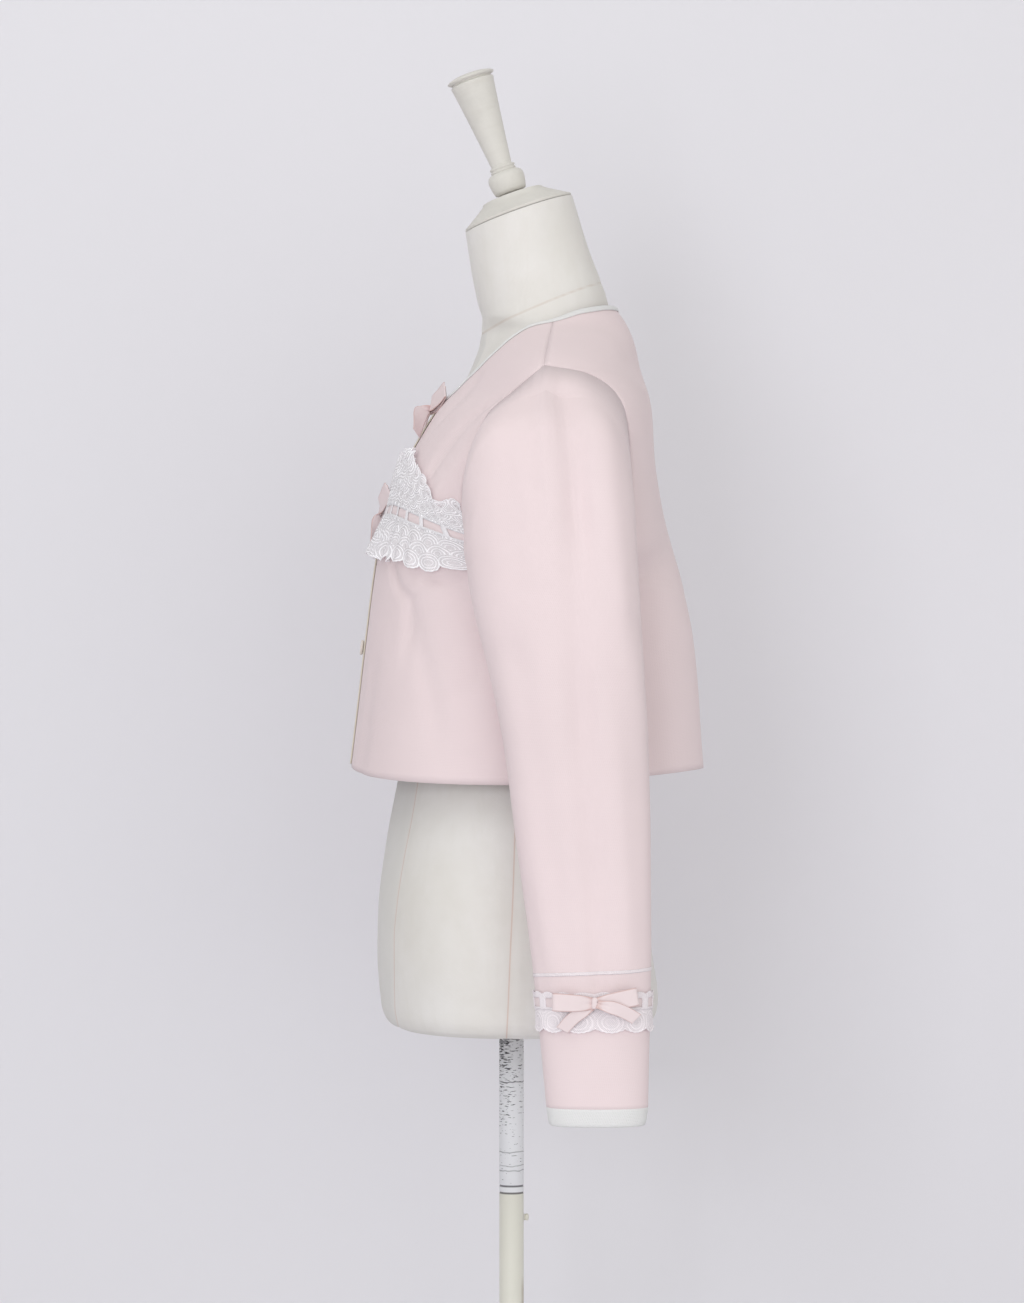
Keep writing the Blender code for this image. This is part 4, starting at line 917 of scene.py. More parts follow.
def tidy_mesh(mesh, closed):
    """Joins a tube's first and last columns and removes points that no face uses."""
    shape = bmesh.new()
    shape.from_mesh(mesh)
    if closed:
        bmesh.ops.remove_doubles(shape, verts=shape.verts, dist=0.00001)
    loose = [v for v in shape.verts if not v.link_faces]
    bmesh.ops.delete(shape, geom=loose, context="VERTS")
    shape.to_mesh(mesh)
    shape.free()
    mesh.shade_smooth()


def armhole_loop(front, half_back):
    """Closed line of the left armhole from the panels' edges: underarm, front, shoulder point, back."""
    rows = slice(SIDE_ROWS, SIDE_ROWS + ARMHOLE_ROWS + 1)
    up = front[rows, -1]
    down = half_back[rows, -1][::-1]
    shoulder = (up[-1] + down[0]) / 2.0
    underarm = (up[0] + down[-1]) / 2.0
    return np.concatenate([[underarm], up[1:-1], [shoulder], down[1:-1]])


def sleeve_ring(station, columns):
    """One section of the sleeve: inner arm first, then front edge, outer arm and back edge."""
    stations = np.arange(len(SLEEVE_SECTIONS))
    section = {
        name: float(smooth_curve(stations, [getattr(row, name) for row in SLEEVE_SECTIONS], station))
        for name in SleeveSection._fields
    }
    outer = np.array([section["outer"], 0.0, section["outer_height"]])
    inner = np.array([section["inner"], 0.0, section["inner_height"]])
    centre = (outer + inner) / 2.0
    centre[1] = (section["front"] + section["back"]) / 2.0
    half_depth = (section["back"] - section["front"]) / 2.0
    angles = np.linspace(-0.5 * math.pi, 1.5 * math.pi, columns + 1)[:-1]
    cosine = signed_power(np.cos(angles), 2.0 / SLEEVE_POWER)
    sine = signed_power(np.sin(angles), 2.0 / SLEEVE_POWER)
    across = (outer - inner) / 2.0
    return centre + sine[:, None] * across - cosine[:, None] * np.array([0.0, half_depth, 0.0])


def sleeve_grid(front, half_back):
    """Rings from the wrist up to the armhole, so that rows run upwards."""
    last = len(SLEEVE_SECTIONS) - 1
    rings = [sleeve_ring(s, SLEEVE_COLUMNS) for s in np.linspace(0.0, last, SLEEVE_ROWS)]
    loop = armhole_loop(front, half_back)
    away = rings[0] - loop
    away = away / np.linalg.norm(away, axis=1, keepdims=True)
    topmost = (loop[:, 2:] - UNDERARM) / (SHOULDER_POINT - UNDERARM)
    seam = EDGE_TRIM + SHOULDER_EDGE_TRIM * ease((topmost - 0.6) / 0.4)
    rings.insert(0, loop + away * seam)
    grid = eased_cap(np.array(rings[::-1]), np.clip(topmost[:, 0], 0.0, 1.0))
    return np.concatenate([grid, grid[:, :1]], axis=1)


def eased_cap(grid, topmost):
    """The sleeve's head lies flatter beside its seam, most at the top."""
    eased = grid.copy()
    for j in range(grid.shape[1]):
        line = grid[::-1, j]
        along = lengths_along(line)
        far = np.array([np.interp(CAP_EASE_LENGTH, along, line[:, k]) for k in range(3)])
        share = np.clip(along / CAP_EASE_LENGTH, 0.0, 1.0)[:, None]
        straight = line[0] + (far - line[0]) * share
        pull = CAP_EASE * ease(topmost[j] * 2.0 - 0.3) * np.sqrt(1.0 - share)
        eased[::-1, j] = line + (straight - line) * pull
    return eased


def cloth_along(s):
    """Length of gathered lace from the centre front to a place along the ladder."""
    return LACE_RUN * (LACE_FULLNESS * s + LACE_GATHER * (1.0 - (1.0 - s) ** 3) / 3.0)


def edge_depth(u, pitch, depth):
    """How far a scalloped edge reaches beyond its notches, with small picots."""
    scallop = np.abs(np.sin(math.pi * u / pitch)) ** 0.7
    picot = np.abs(np.sin(math.pi * u / PICOT))
    return depth * scallop + PICOT_DEPTH * picot


def eyelet_centres(low, high, pitch, edge):
    """A small arc of eyelets in each scallop's eye, as places along and across."""
    centres = []
    first = math.ceil(low / pitch - 0.5)
    last = math.floor(high / pitch - 0.5)
    for n in range(first, last + 1):
        middle = (n + 0.5) * pitch
        for k in range(EYELETS_IN_RING):
            turn = math.pi * (0.15 + 0.7 * k / (EYELETS_IN_RING - 1))
            above = edge - SCALLOP_CENTRE - EYELET_RING * math.sin(turn)
            centres.append((middle + EYELET_RING * math.cos(turn), above))
    return centres


def snap_to_eyelets(u, w, centres):
    """Moves grid points near each eyelet's rim onto it, and says which points lie inside."""
    inside = np.zeros(u.shape, bool)
    for centre_u, centre_w in centres:
        away_u = u - centre_u
        away_w = w - centre_w
        distance = np.hypot(away_u, away_w)
        near = (np.abs(distance - EYELET) < LACE_CELL * 0.62) & (distance > 1e-6)
        scale = np.where(near, EYELET / np.maximum(distance, 1e-9), 1.0)
        u = np.where(near, centre_u + away_u * scale, u)
        w = np.where(near, centre_w + away_w * scale, w)
        inside |= distance < EYELET + LACE_CELL * 0.5
    return u, w, inside


def arc_relief(u, w, pitch, edge):
    """Height of the embroidery: rows of arcs like fish scales, the first round the edge's scallops."""
    relief = np.zeros(u.shape)
    placed = np.zeros(u.shape, bool)
    for row in range(int(edge / ROW_STEP) + 1):
        shift = 0.5 * (row % 2)
        middle = (np.floor(u / pitch - shift) + 0.5 + shift) * pitch
        below = edge - SCALLOP_CENTRE - row * ROW_STEP
        distance = np.hypot(u - middle, w - below)
        mine = ~placed & ((distance < ARC_OUTER) | (w > below))
        zone = ease((distance - ARC_INNER) / 0.0015)
        arcs = zone * (0.5 + 0.5 * np.cos(2.0 * math.pi * distance / ARC_SPACING))
        border = np.exp(-(((distance - ARC_OUTER) / 0.0007) ** 2)) * (w < below + 0.002)
        relief = np.where(mine, np.maximum(arcs * 0.8, border * 0.8), relief)
        placed |= mine
    return ARC_RELIEF * relief


def lace_ruffle(name, place, run, width, pitch, depth, flip, paint, stands_for, closed=False):
    """Embroidered lace: place(s, w, relief) gives points for a share along and a distance from the seam."""
    columns = int(run(1.0) / LACE_CELL) + 1
    rows = int(width / LACE_CELL) + 1
    share = np.linspace(0.0, 1.0, columns)
    s, t = np.meshgrid(share, np.linspace(0.0, 1.0, rows))
    u = run(s)
    reach = width - depth + edge_depth(u, pitch, depth)
    w = t * reach
    centres = [] if width < EYELET_FROM else eyelet_centres(0.0, float(run(1.0)), pitch, width)
    snapped_u, snapped_w, inside = snap_to_eyelets(u, w, centres)
    edge_cells = (t > 0.0) & (t < 1.0)
    u = np.where(edge_cells, snapped_u, u)
    w = np.where(edge_cells, snapped_w, w)
    s = np.interp(u, run(share), share)
    rim = ease(1.0 - (reach - w) / EDGE_CORD)
    relief = arc_relief(u, w, pitch, width) + EDGE_RELIEF * rim
    points = on_side(flip, place(s, w, relief))
    cut = inside[:-1, :-1] & inside[1:, :-1] & inside[:-1, 1:] & inside[1:, 1:]
    values = {"rim": rim, "relief": relief / ARC_RELIEF}
    cut, coordinates, values = turned_round(flip, cut, np.stack([u, w], axis=-1), values)
    return cloth(name, points, paint, LACE_WALL, 1.0, closed, cut, values, coordinates, stands_for)


def ladder_middle(s):
    """Height of the ladder's middle line on the front."""
    return column(LADDER_LINE, "height", s)


def over_band(x):
    """Clearance of the bust lace, which passes over the front band near the centre."""
    return LACE_CLEARANCE + (LACE_OVER_BAND - LACE_CLEARANCE) * ease((0.020 - x) / 0.008)


def lifted(surface, s, reach, height, extra):
    """Points of the bust lace over the front: above the band, and close to the cloth at the seam."""
    across = LACE_START + (reach - LACE_START) * s
    flat = surface.at(across, height)
    return surface.at(across, height, over_band(flat[..., 0]) * into_seam(s) + extra)


def into_seam(s):
    """Share of the clearance left where the lace goes into the armhole seam."""
    return 0.25 + 0.75 * ease((1.0 - s) / 0.09)


def bust_lace(surface, side_name, paints):
    """Both ruffles, the ladder and its ribbon on one front; the right one's are mirrored."""
    flip = side_name == "right"

    def table(name, s):
        return column(LACE_EDGES, name, s)

    def puckers(s):
        return PUCKER_DEPTH * np.cos(2.0 * math.pi * cloth_along(s) / PUCKER)

    def flounce(s, w, relief):
        top = ladder_middle(s) - LADDER_HEIGHT / 2.0 - LADDER_RAIL * 0.4
        share = w / FLOUNCE_WIDTH
        height = top + (table("flounce_bottom", s) - top) * share
        phase = 2.0 * math.pi * cloth_along(s) / PLEAT_PITCH
        gather = 1.25 - 0.95 * s
        wave = PLEAT * gather * (np.cos(phase + 0.5 * np.sin(phase)) + 0.35 * np.sin(0.5 * phase + 1.0))
        pucker = puckers(s) * (1.0 - ease(share * 2.2))
        out = np.maximum(table("flare", s) * share + wave * share**0.6 + 0.0008 * share, 0.0) + pucker
        out = out * into_seam(s)
        lean = PLEAT_LEAN * gather * np.sin(phase) * share
        reach = LACE_REACH + (FLOUNCE_REACH - LACE_REACH) * share
        return lifted(surface, np.clip(s + lean, 0.0, 1.0), reach, height, out + relief)

    flounce_piece = lace_ruffle(
        f"lace_flounce_{side_name}_cloth", flounce, cloth_along, FLOUNCE_WIDTH, SCALLOP, SCALLOP_DEPTH,
        flip, paints["lace"], [f"lace_flounce_{side_name}"],
    )

    def header(s, w, relief):
        foot = ladder_middle(s) + LADDER_HEIGHT / 2.0 + LADDER_RAIL * 0.4
        share = w / HEADER_WIDTH
        height = foot + (table("header_top", s) - foot) * share
        phase = 2.0 * math.pi * cloth_along(s) / PLEAT_PITCH
        gather = 1.1 - 0.6 * s
        wave = HEADER_WAVE * gather * share * (np.cos(phase + 1.1) + 0.4 * np.cos(0.5 * phase))
        pucker = puckers(s) * (1.0 - ease(share * 1.6))
        out = (np.maximum(table("stand_off", s) * share**1.5 + wave, -0.0006) + pucker) * into_seam(s)
        return lifted(surface, s, LACE_REACH, height, out + relief)

    header_piece = lace_ruffle(
        f"lace_header_{side_name}_cloth", header, cloth_along, HEADER_WIDTH, SCALLOP, SCALLOP_DEPTH,
        flip, paints["lace"], [f"lace_header_{side_name}"],
    )
    ladder_piece = ladder_strip(surface, side_name, paints)
    bust_ribbon(surface, side_name, paints)


def ladder_strip(surface, side_name, paints):
    """The strip of slots that the ribbon is threaded through."""
    marks = []
    per_bar = 4
    per_slot = 14
    unit = 1.0 / SLOTS_PER_FRONT
    in_bar = np.linspace(0.0, BAR_SHARE, per_bar + 1)[:-1]
    in_gap = BAR_SHARE + (1.0 - BAR_SHARE) * np.linspace(0.0, 1.0, per_slot + 1)[:-1]
    for i in range(SLOTS_PER_FRONT):
        marks += list(i * unit + in_bar * unit)
        marks += list(i * unit + in_gap * unit)
    marks.append(1.0)
    marks = np.array(marks)
    low = -LADDER_HEIGHT / 2.0
    rail = low + np.array([-1.0, -0.5, 0.0]) * LADDER_RAIL
    heights = np.concatenate([rail, np.linspace(low, -low, 7)[1:-1], -rail[::-1]])
    s, h = np.meshgrid(marks, heights)
    slot_place = (s / unit) % 1.0
    bar = 1.0 - ease(np.abs(slot_place - BAR_SHARE / 2.0) / BAR_SHARE * 1.6)
    relief = 0.0003 * bar - 0.0006 * (np.abs(h) > LADDER_HEIGHT / 2.0 + LADDER_RAIL * 0.5)
    points = lifted(surface, s, LACE_REACH, ladder_middle(s) + h, relief)
    in_slot = (np.arange(len(marks) - 1) % (per_bar + per_slot)) >= per_bar
    open_rows = np.abs((heights[:-1] + heights[1:]) / 2.0) < LADDER_HEIGHT / 2.0
    cut = open_rows[:, None] & in_slot[None, :]
    values = {"rim": np.full(s.shape, 0.7), "relief": np.zeros(s.shape)}
    flip = side_name == "right"
    cut, coordinates = turned_round(flip, cut, np.stack([cloth_along(s), h], axis=-1))
    return cloth(f"lace_ladder_{side_name}_cloth", on_side(flip, points), paints["lace"], LACE_WALL,
                 1.0, cut=cut, values=values, coordinates=coordinates)


def bust_ribbon(surface, side_name, paints):
    """Ribbon under the ladder's bars, full between them."""
    s, w = np.meshgrid(np.linspace(0.02, 0.985, 240), np.linspace(-0.5, 0.5, 9))
    place = (s * SLOTS_PER_FRONT) % 1.0
    bar = 1.0 - ease(np.abs(((place - BAR_SHARE / 2.0 + 0.5) % 1.0) - 0.5) / 0.22)
    across = LACE_START + (LACE_REACH - LACE_START) * s
    height = ladder_middle(s) + w * RIBBON_HEIGHT * (1.0 - 0.16 * bar)
    full = RIBBON_FULLNESS * (1.0 - bar) * (1.0 - (2.0 * w) ** 2)
    points = surface.at(across, height, (RIBBON_CLEARANCE + full) * into_seam(s))
    coordinates = np.stack([s * LACE_RUN, w * RIBBON_HEIGHT], axis=-1)
    flip = side_name == "right"
    # fold: painted shade at the ribbon's edges and under the ladder's bars
    coordinates, values = turned_round(flip, coordinates, {"fold": np.abs(2.0 * w) ** 6 + bar * 0.5})
    piece = cloth(f"bust_ribbon_{side_name}_cloth", on_side(flip, points), paints["ribbon"],
                  RIBBON_WALL, 1.0, values=values, coordinates=coordinates,
                  stands_for=[f"bust_ribbon_{side_name}"])


def neck_trim(front, back, paints):
    """Narrow white rib on the neckline, round from the left front over the back to the right front."""
    edges = [front[::-1][:2], back[::-1][:2, 1:-1], mirrored(front)[::-1][:2]]
    upper = np.concatenate([grid[0] for grid in edges])
    ends = np.concatenate([grid[1] for grid in edges]) - upper
    ends = ends / np.linalg.norm(ends, axis=1, keepdims=True)
    flat = np.array([upper + ends * NECK_TRIM_WIDTH, upper])
    normal = grid_normals(flat)[0]
    rows = []
    for w in np.linspace(0.0, 1.0, 9):
        crown = NECK_TRIM_CROWN * math.sin(math.pi * w) ** 0.6
        rows.append(upper + ends * NECK_TRIM_WIDTH * (1.0 - w) + normal * (NECK_TRIM_LIFT + crown))
    return cloth("neck_trim_cloth", np.array(rows), paints["rib"], EDGING_WALL, 1.0,
                 stands_for=["neck_trim"])


def front_band(surface, front, paints):
    """Cream band down the centre front, over both fronts, with its stitched edges."""
    heights = np.linspace(front[0, 0, 2], front[-1, 0, 2] - BAND_BELOW_NECK, 120)
    run = lengths_along(front[0])[-1]
    columns = []
    for x in np.linspace(-BAND_HALF_WIDTH, BAND_HALF_WIDTH, 17):
        stitch = BAND_STITCH_DEPTH * math.exp(-(((abs(x) - BAND_STITCH_PLACE) / BAND_STITCH_WIDTH) ** 2))
        line = surface.at(abs(x) / run, heights, TRIM_CLEARANCE - stitch)
        line[:, 0] = x
        columns.append(line)
    points = np.stack(columns, axis=1)
    piece = cloth("front_band_cloth", points, paints["band"], TRIM_WALL, 1.0,
                  stands_for=["front_band"])


def button(surface, paints):
    """The small pale button on the front band: a disc with a raised rim."""
    on_band = TRIM_CLEARANCE + TRIM_WALL + SEAM_GAP
    spot = surface.at(0.0, BUTTON_HEIGHT, on_band)
    above = surface.at(0.0, BUTTON_HEIGHT + 0.01, on_band)
    spot[0] = 0.0
    above[0] = 0.0
    up = Vector(above - spot).normalized()
    out = Vector((0.0, -up.z, up.y))
    matrix = Matrix((up.cross(out), up, out)).transposed().to_4x4()
    matrix.translation = Vector(spot)
    piece = turned("button_disc", BUTTON_PROFILE, paints["pearl"], matrix, 48, 3)
    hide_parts("button")


def cuff(surface, points, side_name, paints):
    """White line, ribbon, lace, ladder, white end band and bow of one cuff."""
    flip = side_name == "right"
    line_piece = cuff_line(surface, side_name, flip, paints)
    cuff_ribbon(surface, side_name, flip, paints)
    cuff_lace(surface, side_name, flip, paints)
    cuff_ladder(surface, side_name, flip, paints)
    edge = on_side(flip, end_band(points))
    edge_piece = cloth(f"cuff_edge_{side_name}_cloth", edge, paints["rib"], TRIM_WALL,
                       closed=True, stands_for=[f"cuff_edge_{side_name}"])
    knot = surface.at(0.5, CUFF_BOW_HEIGHT, CUFF_BOW_CLEARANCE)
    matrix = surface_frame(knot, (0.0, 0.0, 1.0), (1.0, 0.0, 0.0))
    bow(f"cuff_bow_{side_name}", matrix, CUFF_BOW, flip, paints)


def cuff_line(surface, side_name, flip, paints):
    """The white stitched line above the cuff's lace, higher behind than in front."""
    u, w = np.meshgrid(np.linspace(0.0, 1.0, 4 * CUFF_SCALLOPS * 6 + 1), np.linspace(-0.5, 0.5, 5))
    slant = CUFF_LINE_RISE * np.interp(u, (0.0, 0.25, 0.5, 0.75, 1.0), (0.0, -0.5, 0.0, 0.5, 0.0))
    beat = 0.6 + 0.4 * np.cos(2.0 * math.pi * u * CUFF_STITCHES)
    stitches = CUFF_STITCH_DEPTH * (np.abs(w) < 0.3) * beat
    line = surface.at(u, CUFF_LINE_HEIGHT + slant + w * CUFF_LINE_WIDTH, CUFF_LINE_LIFT + stitches)
    return cloth(f"cuff_line_{side_name}_cloth", on_side(flip, line), paints["stitch"],
                 STITCH_WALL, 1.0, closed=True, stands_for=[f"cuff_line_{side_name}"])


def cuff_ribbon(surface, side_name, flip, paints):
    """Ribbon round the cuff, flat under the ladder's bars and full between them."""
    u, w = np.meshgrid(np.linspace(0.0, 1.0, 241), np.linspace(-0.5, 0.5, 9))
    bar = 1.0 - ease(np.abs(((u * CUFF_SLOTS + 0.5) % 1.0) - 0.5) / 0.20)
    width = CUFF_LADDER_TOP - CUFF_LADDER_BOTTOM + 0.001
    out = RIBBON_CLEARANCE + CUFF_RIBBON_FULLNESS * (1.0 - bar) * (1.0 - (2.0 * w) ** 2)
    ribbon = on_side(flip, surface.at(u, CUFF_LADDER_MIDDLE + w * width, out))
    # fold: painted shade at the ribbon's edges and under the ladder's bars
    values = turned_round(flip, {"fold": np.abs(2.0 * w) ** 6 + 0.5 * bar})[0]
    piece = cloth(f"cuff_ribbon_{side_name}_cloth", ribbon, paints["ribbon"], RIBBON_WALL, 1.0,
                  closed=True, values=values, stands_for=[f"cuff_ribbon_{side_name}"])


def cuff_lace(surface, side_name, flip, paints):
    """The scalloped lace below the cuff's ladder."""
    girth = lengths_along(surface.at(np.linspace(0.0, 1.0, 200), CUFF_LADDER_MIDDLE))[-1]
    width = CUFF_LADDER_BOTTOM - CUFF_LACE_BOTTOM + CUFF_SCALLOP_DEPTH

    def run(share):
        return girth * np.asarray(share)

    def place(s, w, relief):
        share = w / width
        phase = 2.0 * math.pi * s * CUFF_SCALLOPS
        out = 0.0011 + 0.0010 * share + 0.0006 * share * np.cos(phase)
        return surface.at(s, CUFF_LADDER_BOTTOM - w, out + relief)

    piece = lace_ruffle(
        f"cuff_lace_{side_name}_cloth", place, run, width, girth / CUFF_SCALLOPS, CUFF_SCALLOP_DEPTH, flip,
        paints["cuff_lace"], [f"cuff_lace_front_{side_name}", f"cuff_lace_back_{side_name}"], closed=True,
    )


def cuff_ladder(surface, side_name, flip, paints):
    """The strip of slots round the cuff, with a small scalloped upper edge."""
    u, h = np.meshgrid(np.linspace(0.0, 1.0, CUFF_SLOTS * 20 + 1), np.linspace(0.0, 1.0, 15))
    low = CUFF_LADDER_BOTTOM - CUFF_LACE_LAP
    crest = CUFF_LACE_TOP - CUFF_PICOT + CUFF_PICOT * np.abs(np.sin(math.pi * u * CUFF_SCALLOPS * 1.5))
    height = low + (crest - low) * h
    in_row = (height > CUFF_LADDER_BOTTOM) & (height < CUFF_LADDER_TOP)
    bar = np.abs(((u * CUFF_SLOTS + 0.5) % 1.0) - 0.5) < 0.155
    ladder = on_side(flip, surface.at(u, height, CUFF_LADDER_LIFT + 0.0003 * bar))
    in_slot = in_row & ~bar
    cut = turned_round(flip, in_slot[:-1, :-1] & in_slot[1:, 1:])[0]
    values = {"rim": 0.25 + 0.45 * in_row + 0.3 * (h > 0.93), "relief": np.zeros(u.shape)}
    piece = cloth(f"cuff_ladder_{side_name}_cloth", ladder, paints["cuff_lace"], LACE_WALL, 1.0,
                  closed=True, cut=cut, values=values)


def end_band(points):
    """The white end band's grid: it starts inside the sleeve's end and turns in at its lower edge."""
    surface = Surface(points, closed=True)
    even = np.linspace(0.0, 1.0, points.shape[1])
    top = surface.at(even, CUFF_EDGE_TOP + CUFF_EDGE_LAP)
    middle = (top.max(axis=0) + top.min(axis=0)) / 2.0
    beside = top - middle
    beside = beside / np.linalg.norm(beside[:, :2], axis=1, keepdims=True)
    rows = []
    for height, inset in BAND_PROFILE:
        row = top - beside * inset
        row[:, 2] = height
        rows.append(row)
    return np.array(rows)


def frame_matrix(origin, sideways, up, out):
    """Placement with local X sideways, local Y along out and local Z up."""
    rows = Matrix((sideways, out, up)).transposed().to_4x4()
    rows.translation = origin
    return rows


def surface_frame(point, up, out):
    """Placement on a surface from its point and two directions."""
    out = Vector(out).normalized()
    up = (Vector(up) - out * Vector(up).dot(out)).normalized()
    return frame_matrix(Vector(point), up.cross(out) * -1.0, up, out)


def smooth_path(points, count):
    """A Catmull-Rom curve through points, with its samples even in length."""
    points = np.asarray(points, float)
    padded = np.concatenate([[2.0 * points[0] - points[1]], points, [2.0 * points[-1] - points[-2]]])
    dense = []
    for i in range(1, len(padded) - 2):
        p0, p1, p2, p3 = padded[i - 1:i + 3]
        for t in np.linspace(0.0, 1.0, 24, endpoint=False):
            dense.append(0.5 * (2.0 * p1 + (p2 - p0) * t + (2.0 * p0 - 5.0 * p1 + 4.0 * p2 - p3) * t**2
                                + (3.0 * p1 - p0 - 3.0 * p2 + p3) * t**3))
    dense.append(padded[-2])
    return resample_any(np.array(dense), np.linspace(0.0, 1.0, count))


def resample_any(points, fractions):
    """Rows of numbers at even fractions of a line's length in its first three columns."""
    along = lengths_along(points[:, :3])
    wanted = np.asarray(fractions) * along[-1]
    return np.stack([np.interp(wanted, along, points[:, k]) for k in range(points.shape[1])], axis=-1)


def placed(points, matrix):
    """A grid moved to its placement."""
    place = np.array(matrix)
    return (points.reshape(-1, 3) @ place[:3, :3].T + place[:3, 3]).reshape(points.shape)


def ribbon_piece(name, path, widths, beside, gathers, slant, matrix, flip, paint):
    """A ribbon along a path: creased where it enters the knot, and cut on a slant at a free end."""
    rows = 13
    w = np.linspace(-0.5, 0.5, rows)[:, None]
    along = np.gradient(path, axis=0)
    along = along / np.linalg.norm(along, axis=1, keepdims=True)
    beside = beside / np.linalg.norm(beside, axis=1, keepdims=True)
    face = np.cross(along, beside)
    crease = RIBBON_CREASE * np.cos(2.0 * math.pi * w * 2.5 + 0.6) * gathers[None, :]
    cup = RIBBON_CUP * gathers[None, :] * (1.0 - (2.0 * w) ** 2)
    points = path[None] + beside[None] * (w * widths[None, :])[..., None]
    points = points + face[None] * (crease + cup)[..., None]
    if slant:
        tail = ease((np.linspace(0.0, 1.0, len(path)) - 0.6) / 0.4)
        points = points + along[None] * (w * slant * tail[None, :])[..., None]
    coordinates = np.stack(np.broadcast_arrays(lengths_along(path)[None, :], w * BOW_RIBBON), axis=-1)
    points = on_side(flip, placed(points, matrix))
    # fold: painted shade at the ribbon's edges and in its gathers near the knot
    fold = np.abs(2.0 * w) ** 8 + 0.8 * gathers[None, :] ** 2
    coordinates, values = turned_round(flip, coordinates, {"fold": fold})
    return cloth(name, points, paint, RIBBON_WALL, 0.0, values=values, coordinates=coordinates)


def bow_loop(number, side, shape):
    """One loop of a bow: its path, its widths, the ribbon's crosswise direction and its gathers."""
    last = BOW_LOOP[5].sideways
    rows = []
    for p in BOW_LOOP:
        reach = p.sideways / last
        length = 1.0 + (shape.size - 1.0) * ease(reach)
        depth = 1.0 + (shape.depth - 1.0) * ease(reach)
        out = p.out * depth + 1000.0 * shape.sags[number] * reach**1.5
        rise = 1000.0 * shape.rises[number] * reach**1.3
        rows.append((side * p.sideways * length, out, rise, p.width))
    path = smooth_path(np.array(rows) * MILLIMETRE, 72)
    tilt = math.atan2(shape.rises[number], last * MILLIMETRE * shape.size)
    level = np.tile([-side * math.sin(tilt), 0.0, math.cos(tilt)], (len(path), 1))
    roll = np.radians(shape.roll) * ease(np.abs(path[:, 0]) / 0.012)[:, None]
    beside = level * np.cos(roll) + np.array([0.0, 1.0, 0.0]) * np.sin(roll)
    gathers = np.exp(-((np.abs(path[:, 0]) / LOOP_GATHER) ** 2))
    return path[:, :3], path[:, 3], beside, gathers


def bow_tail(number, side, shape):
    """One tail of a bow: its path, its widths, the ribbon's crosswise direction and its gathers."""
    start_side, start_down, start_out = shape.tail_starts[number]
    end_side, end_down, end_out = shape.tail_ends[number]
    start = np.array([start_side, start_out, start_down])
    end = np.array([end_side, end_out, end_down])
    rows = []
    for share in np.linspace(0.0, 1.0, 5):
        bulge = shape.tail_bulge * math.sin(math.pi * share**0.65)
        droop = TAIL_DROOP * math.sin(math.pi * share)
        rows.append(start + (end - start) * share + np.array([side * droop, bulge, droop]))
    path = smooth_path(rows, 36)
    run = end - start
    across = np.cross(run, np.array([0.0, 1.0, 0.0]))
    across = across / np.linalg.norm(across)
    outward = np.cross(across, run / np.linalg.norm(run))
    share = np.linspace(0.0, 1.0, len(path))
    turn = shape.twist_start + (shape.twist_end - shape.twist_start) * ease(share * 1.4 - 0.4)
    twist = np.radians(side * turn * ease(share * 5.0))[:, None]
    widths = shape.tail_width * (0.62 + 0.38 * ease(share * 2.6))
    beside = across * np.cos(twist) + outward * np.sin(twist)
    return path, widths, beside, np.exp(-((share / TAIL_GATHER) ** 2))


def bow(name, matrix, shape, flip, paints):
    """A tied ribbon bow: two loops, two tails and a creased knot."""
    for number, side in enumerate((1.0, -1.0)):
        for kind, route, slant in (("loop", bow_loop, 0.0), ("tail", bow_tail, TAIL_SLANT * side)):
            path, widths, beside, gathers = route(number, side, shape)
            ribbon_piece(f"{name}_{kind}_{number + 1}", path, widths, beside, gathers, slant,
                                        matrix, flip, paints["ribbon"])
    knot = bow_knot(f"{name}_knot", matrix, flip, paints["ribbon"])
    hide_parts(name)


def bow_knot(name, matrix, flip, paint):
    """The knot: a soft rounded wrap of ribbon with creases down it."""
    half = Vector(BOW_KNOT) / 2.0
    rows, columns = 21, 37
    t, lift = np.meshgrid(np.linspace(0.0, 2.0 * math.pi, columns), np.linspace(-1.0, 1.0, rows))
    profile = (1.0 - np.abs(lift) ** 3.5) ** (1.0 / 3.5)
    pinch = 1.0 - 0.14 * np.exp(-((lift / 0.55) ** 2))
    crease = 1.0 + 0.05 * np.cos(7.0 * t) * profile
    x = half.x * profile * 1.02 * signed_power(np.cos(t), 0.8) * pinch * crease
    y = half.y + 0.0002 + half.y * 1.02 * profile * signed_power(np.sin(t), 0.8) * crease
    points = on_side(flip, placed(np.stack([x, y, half.z * lift], axis=-1), matrix))
    # fold: a faint painted shade over the knot
    values = {"fold": np.full(rows * columns, 0.35)}
    coordinates = cloth_lengths(points).reshape(-1, 2)
    mesh = build_mesh(name, points.reshape(-1, 3), grid_faces(rows, columns), coordinates, values)
    tidy_mesh(mesh, True)
    return new_piece(name, mesh, paint)


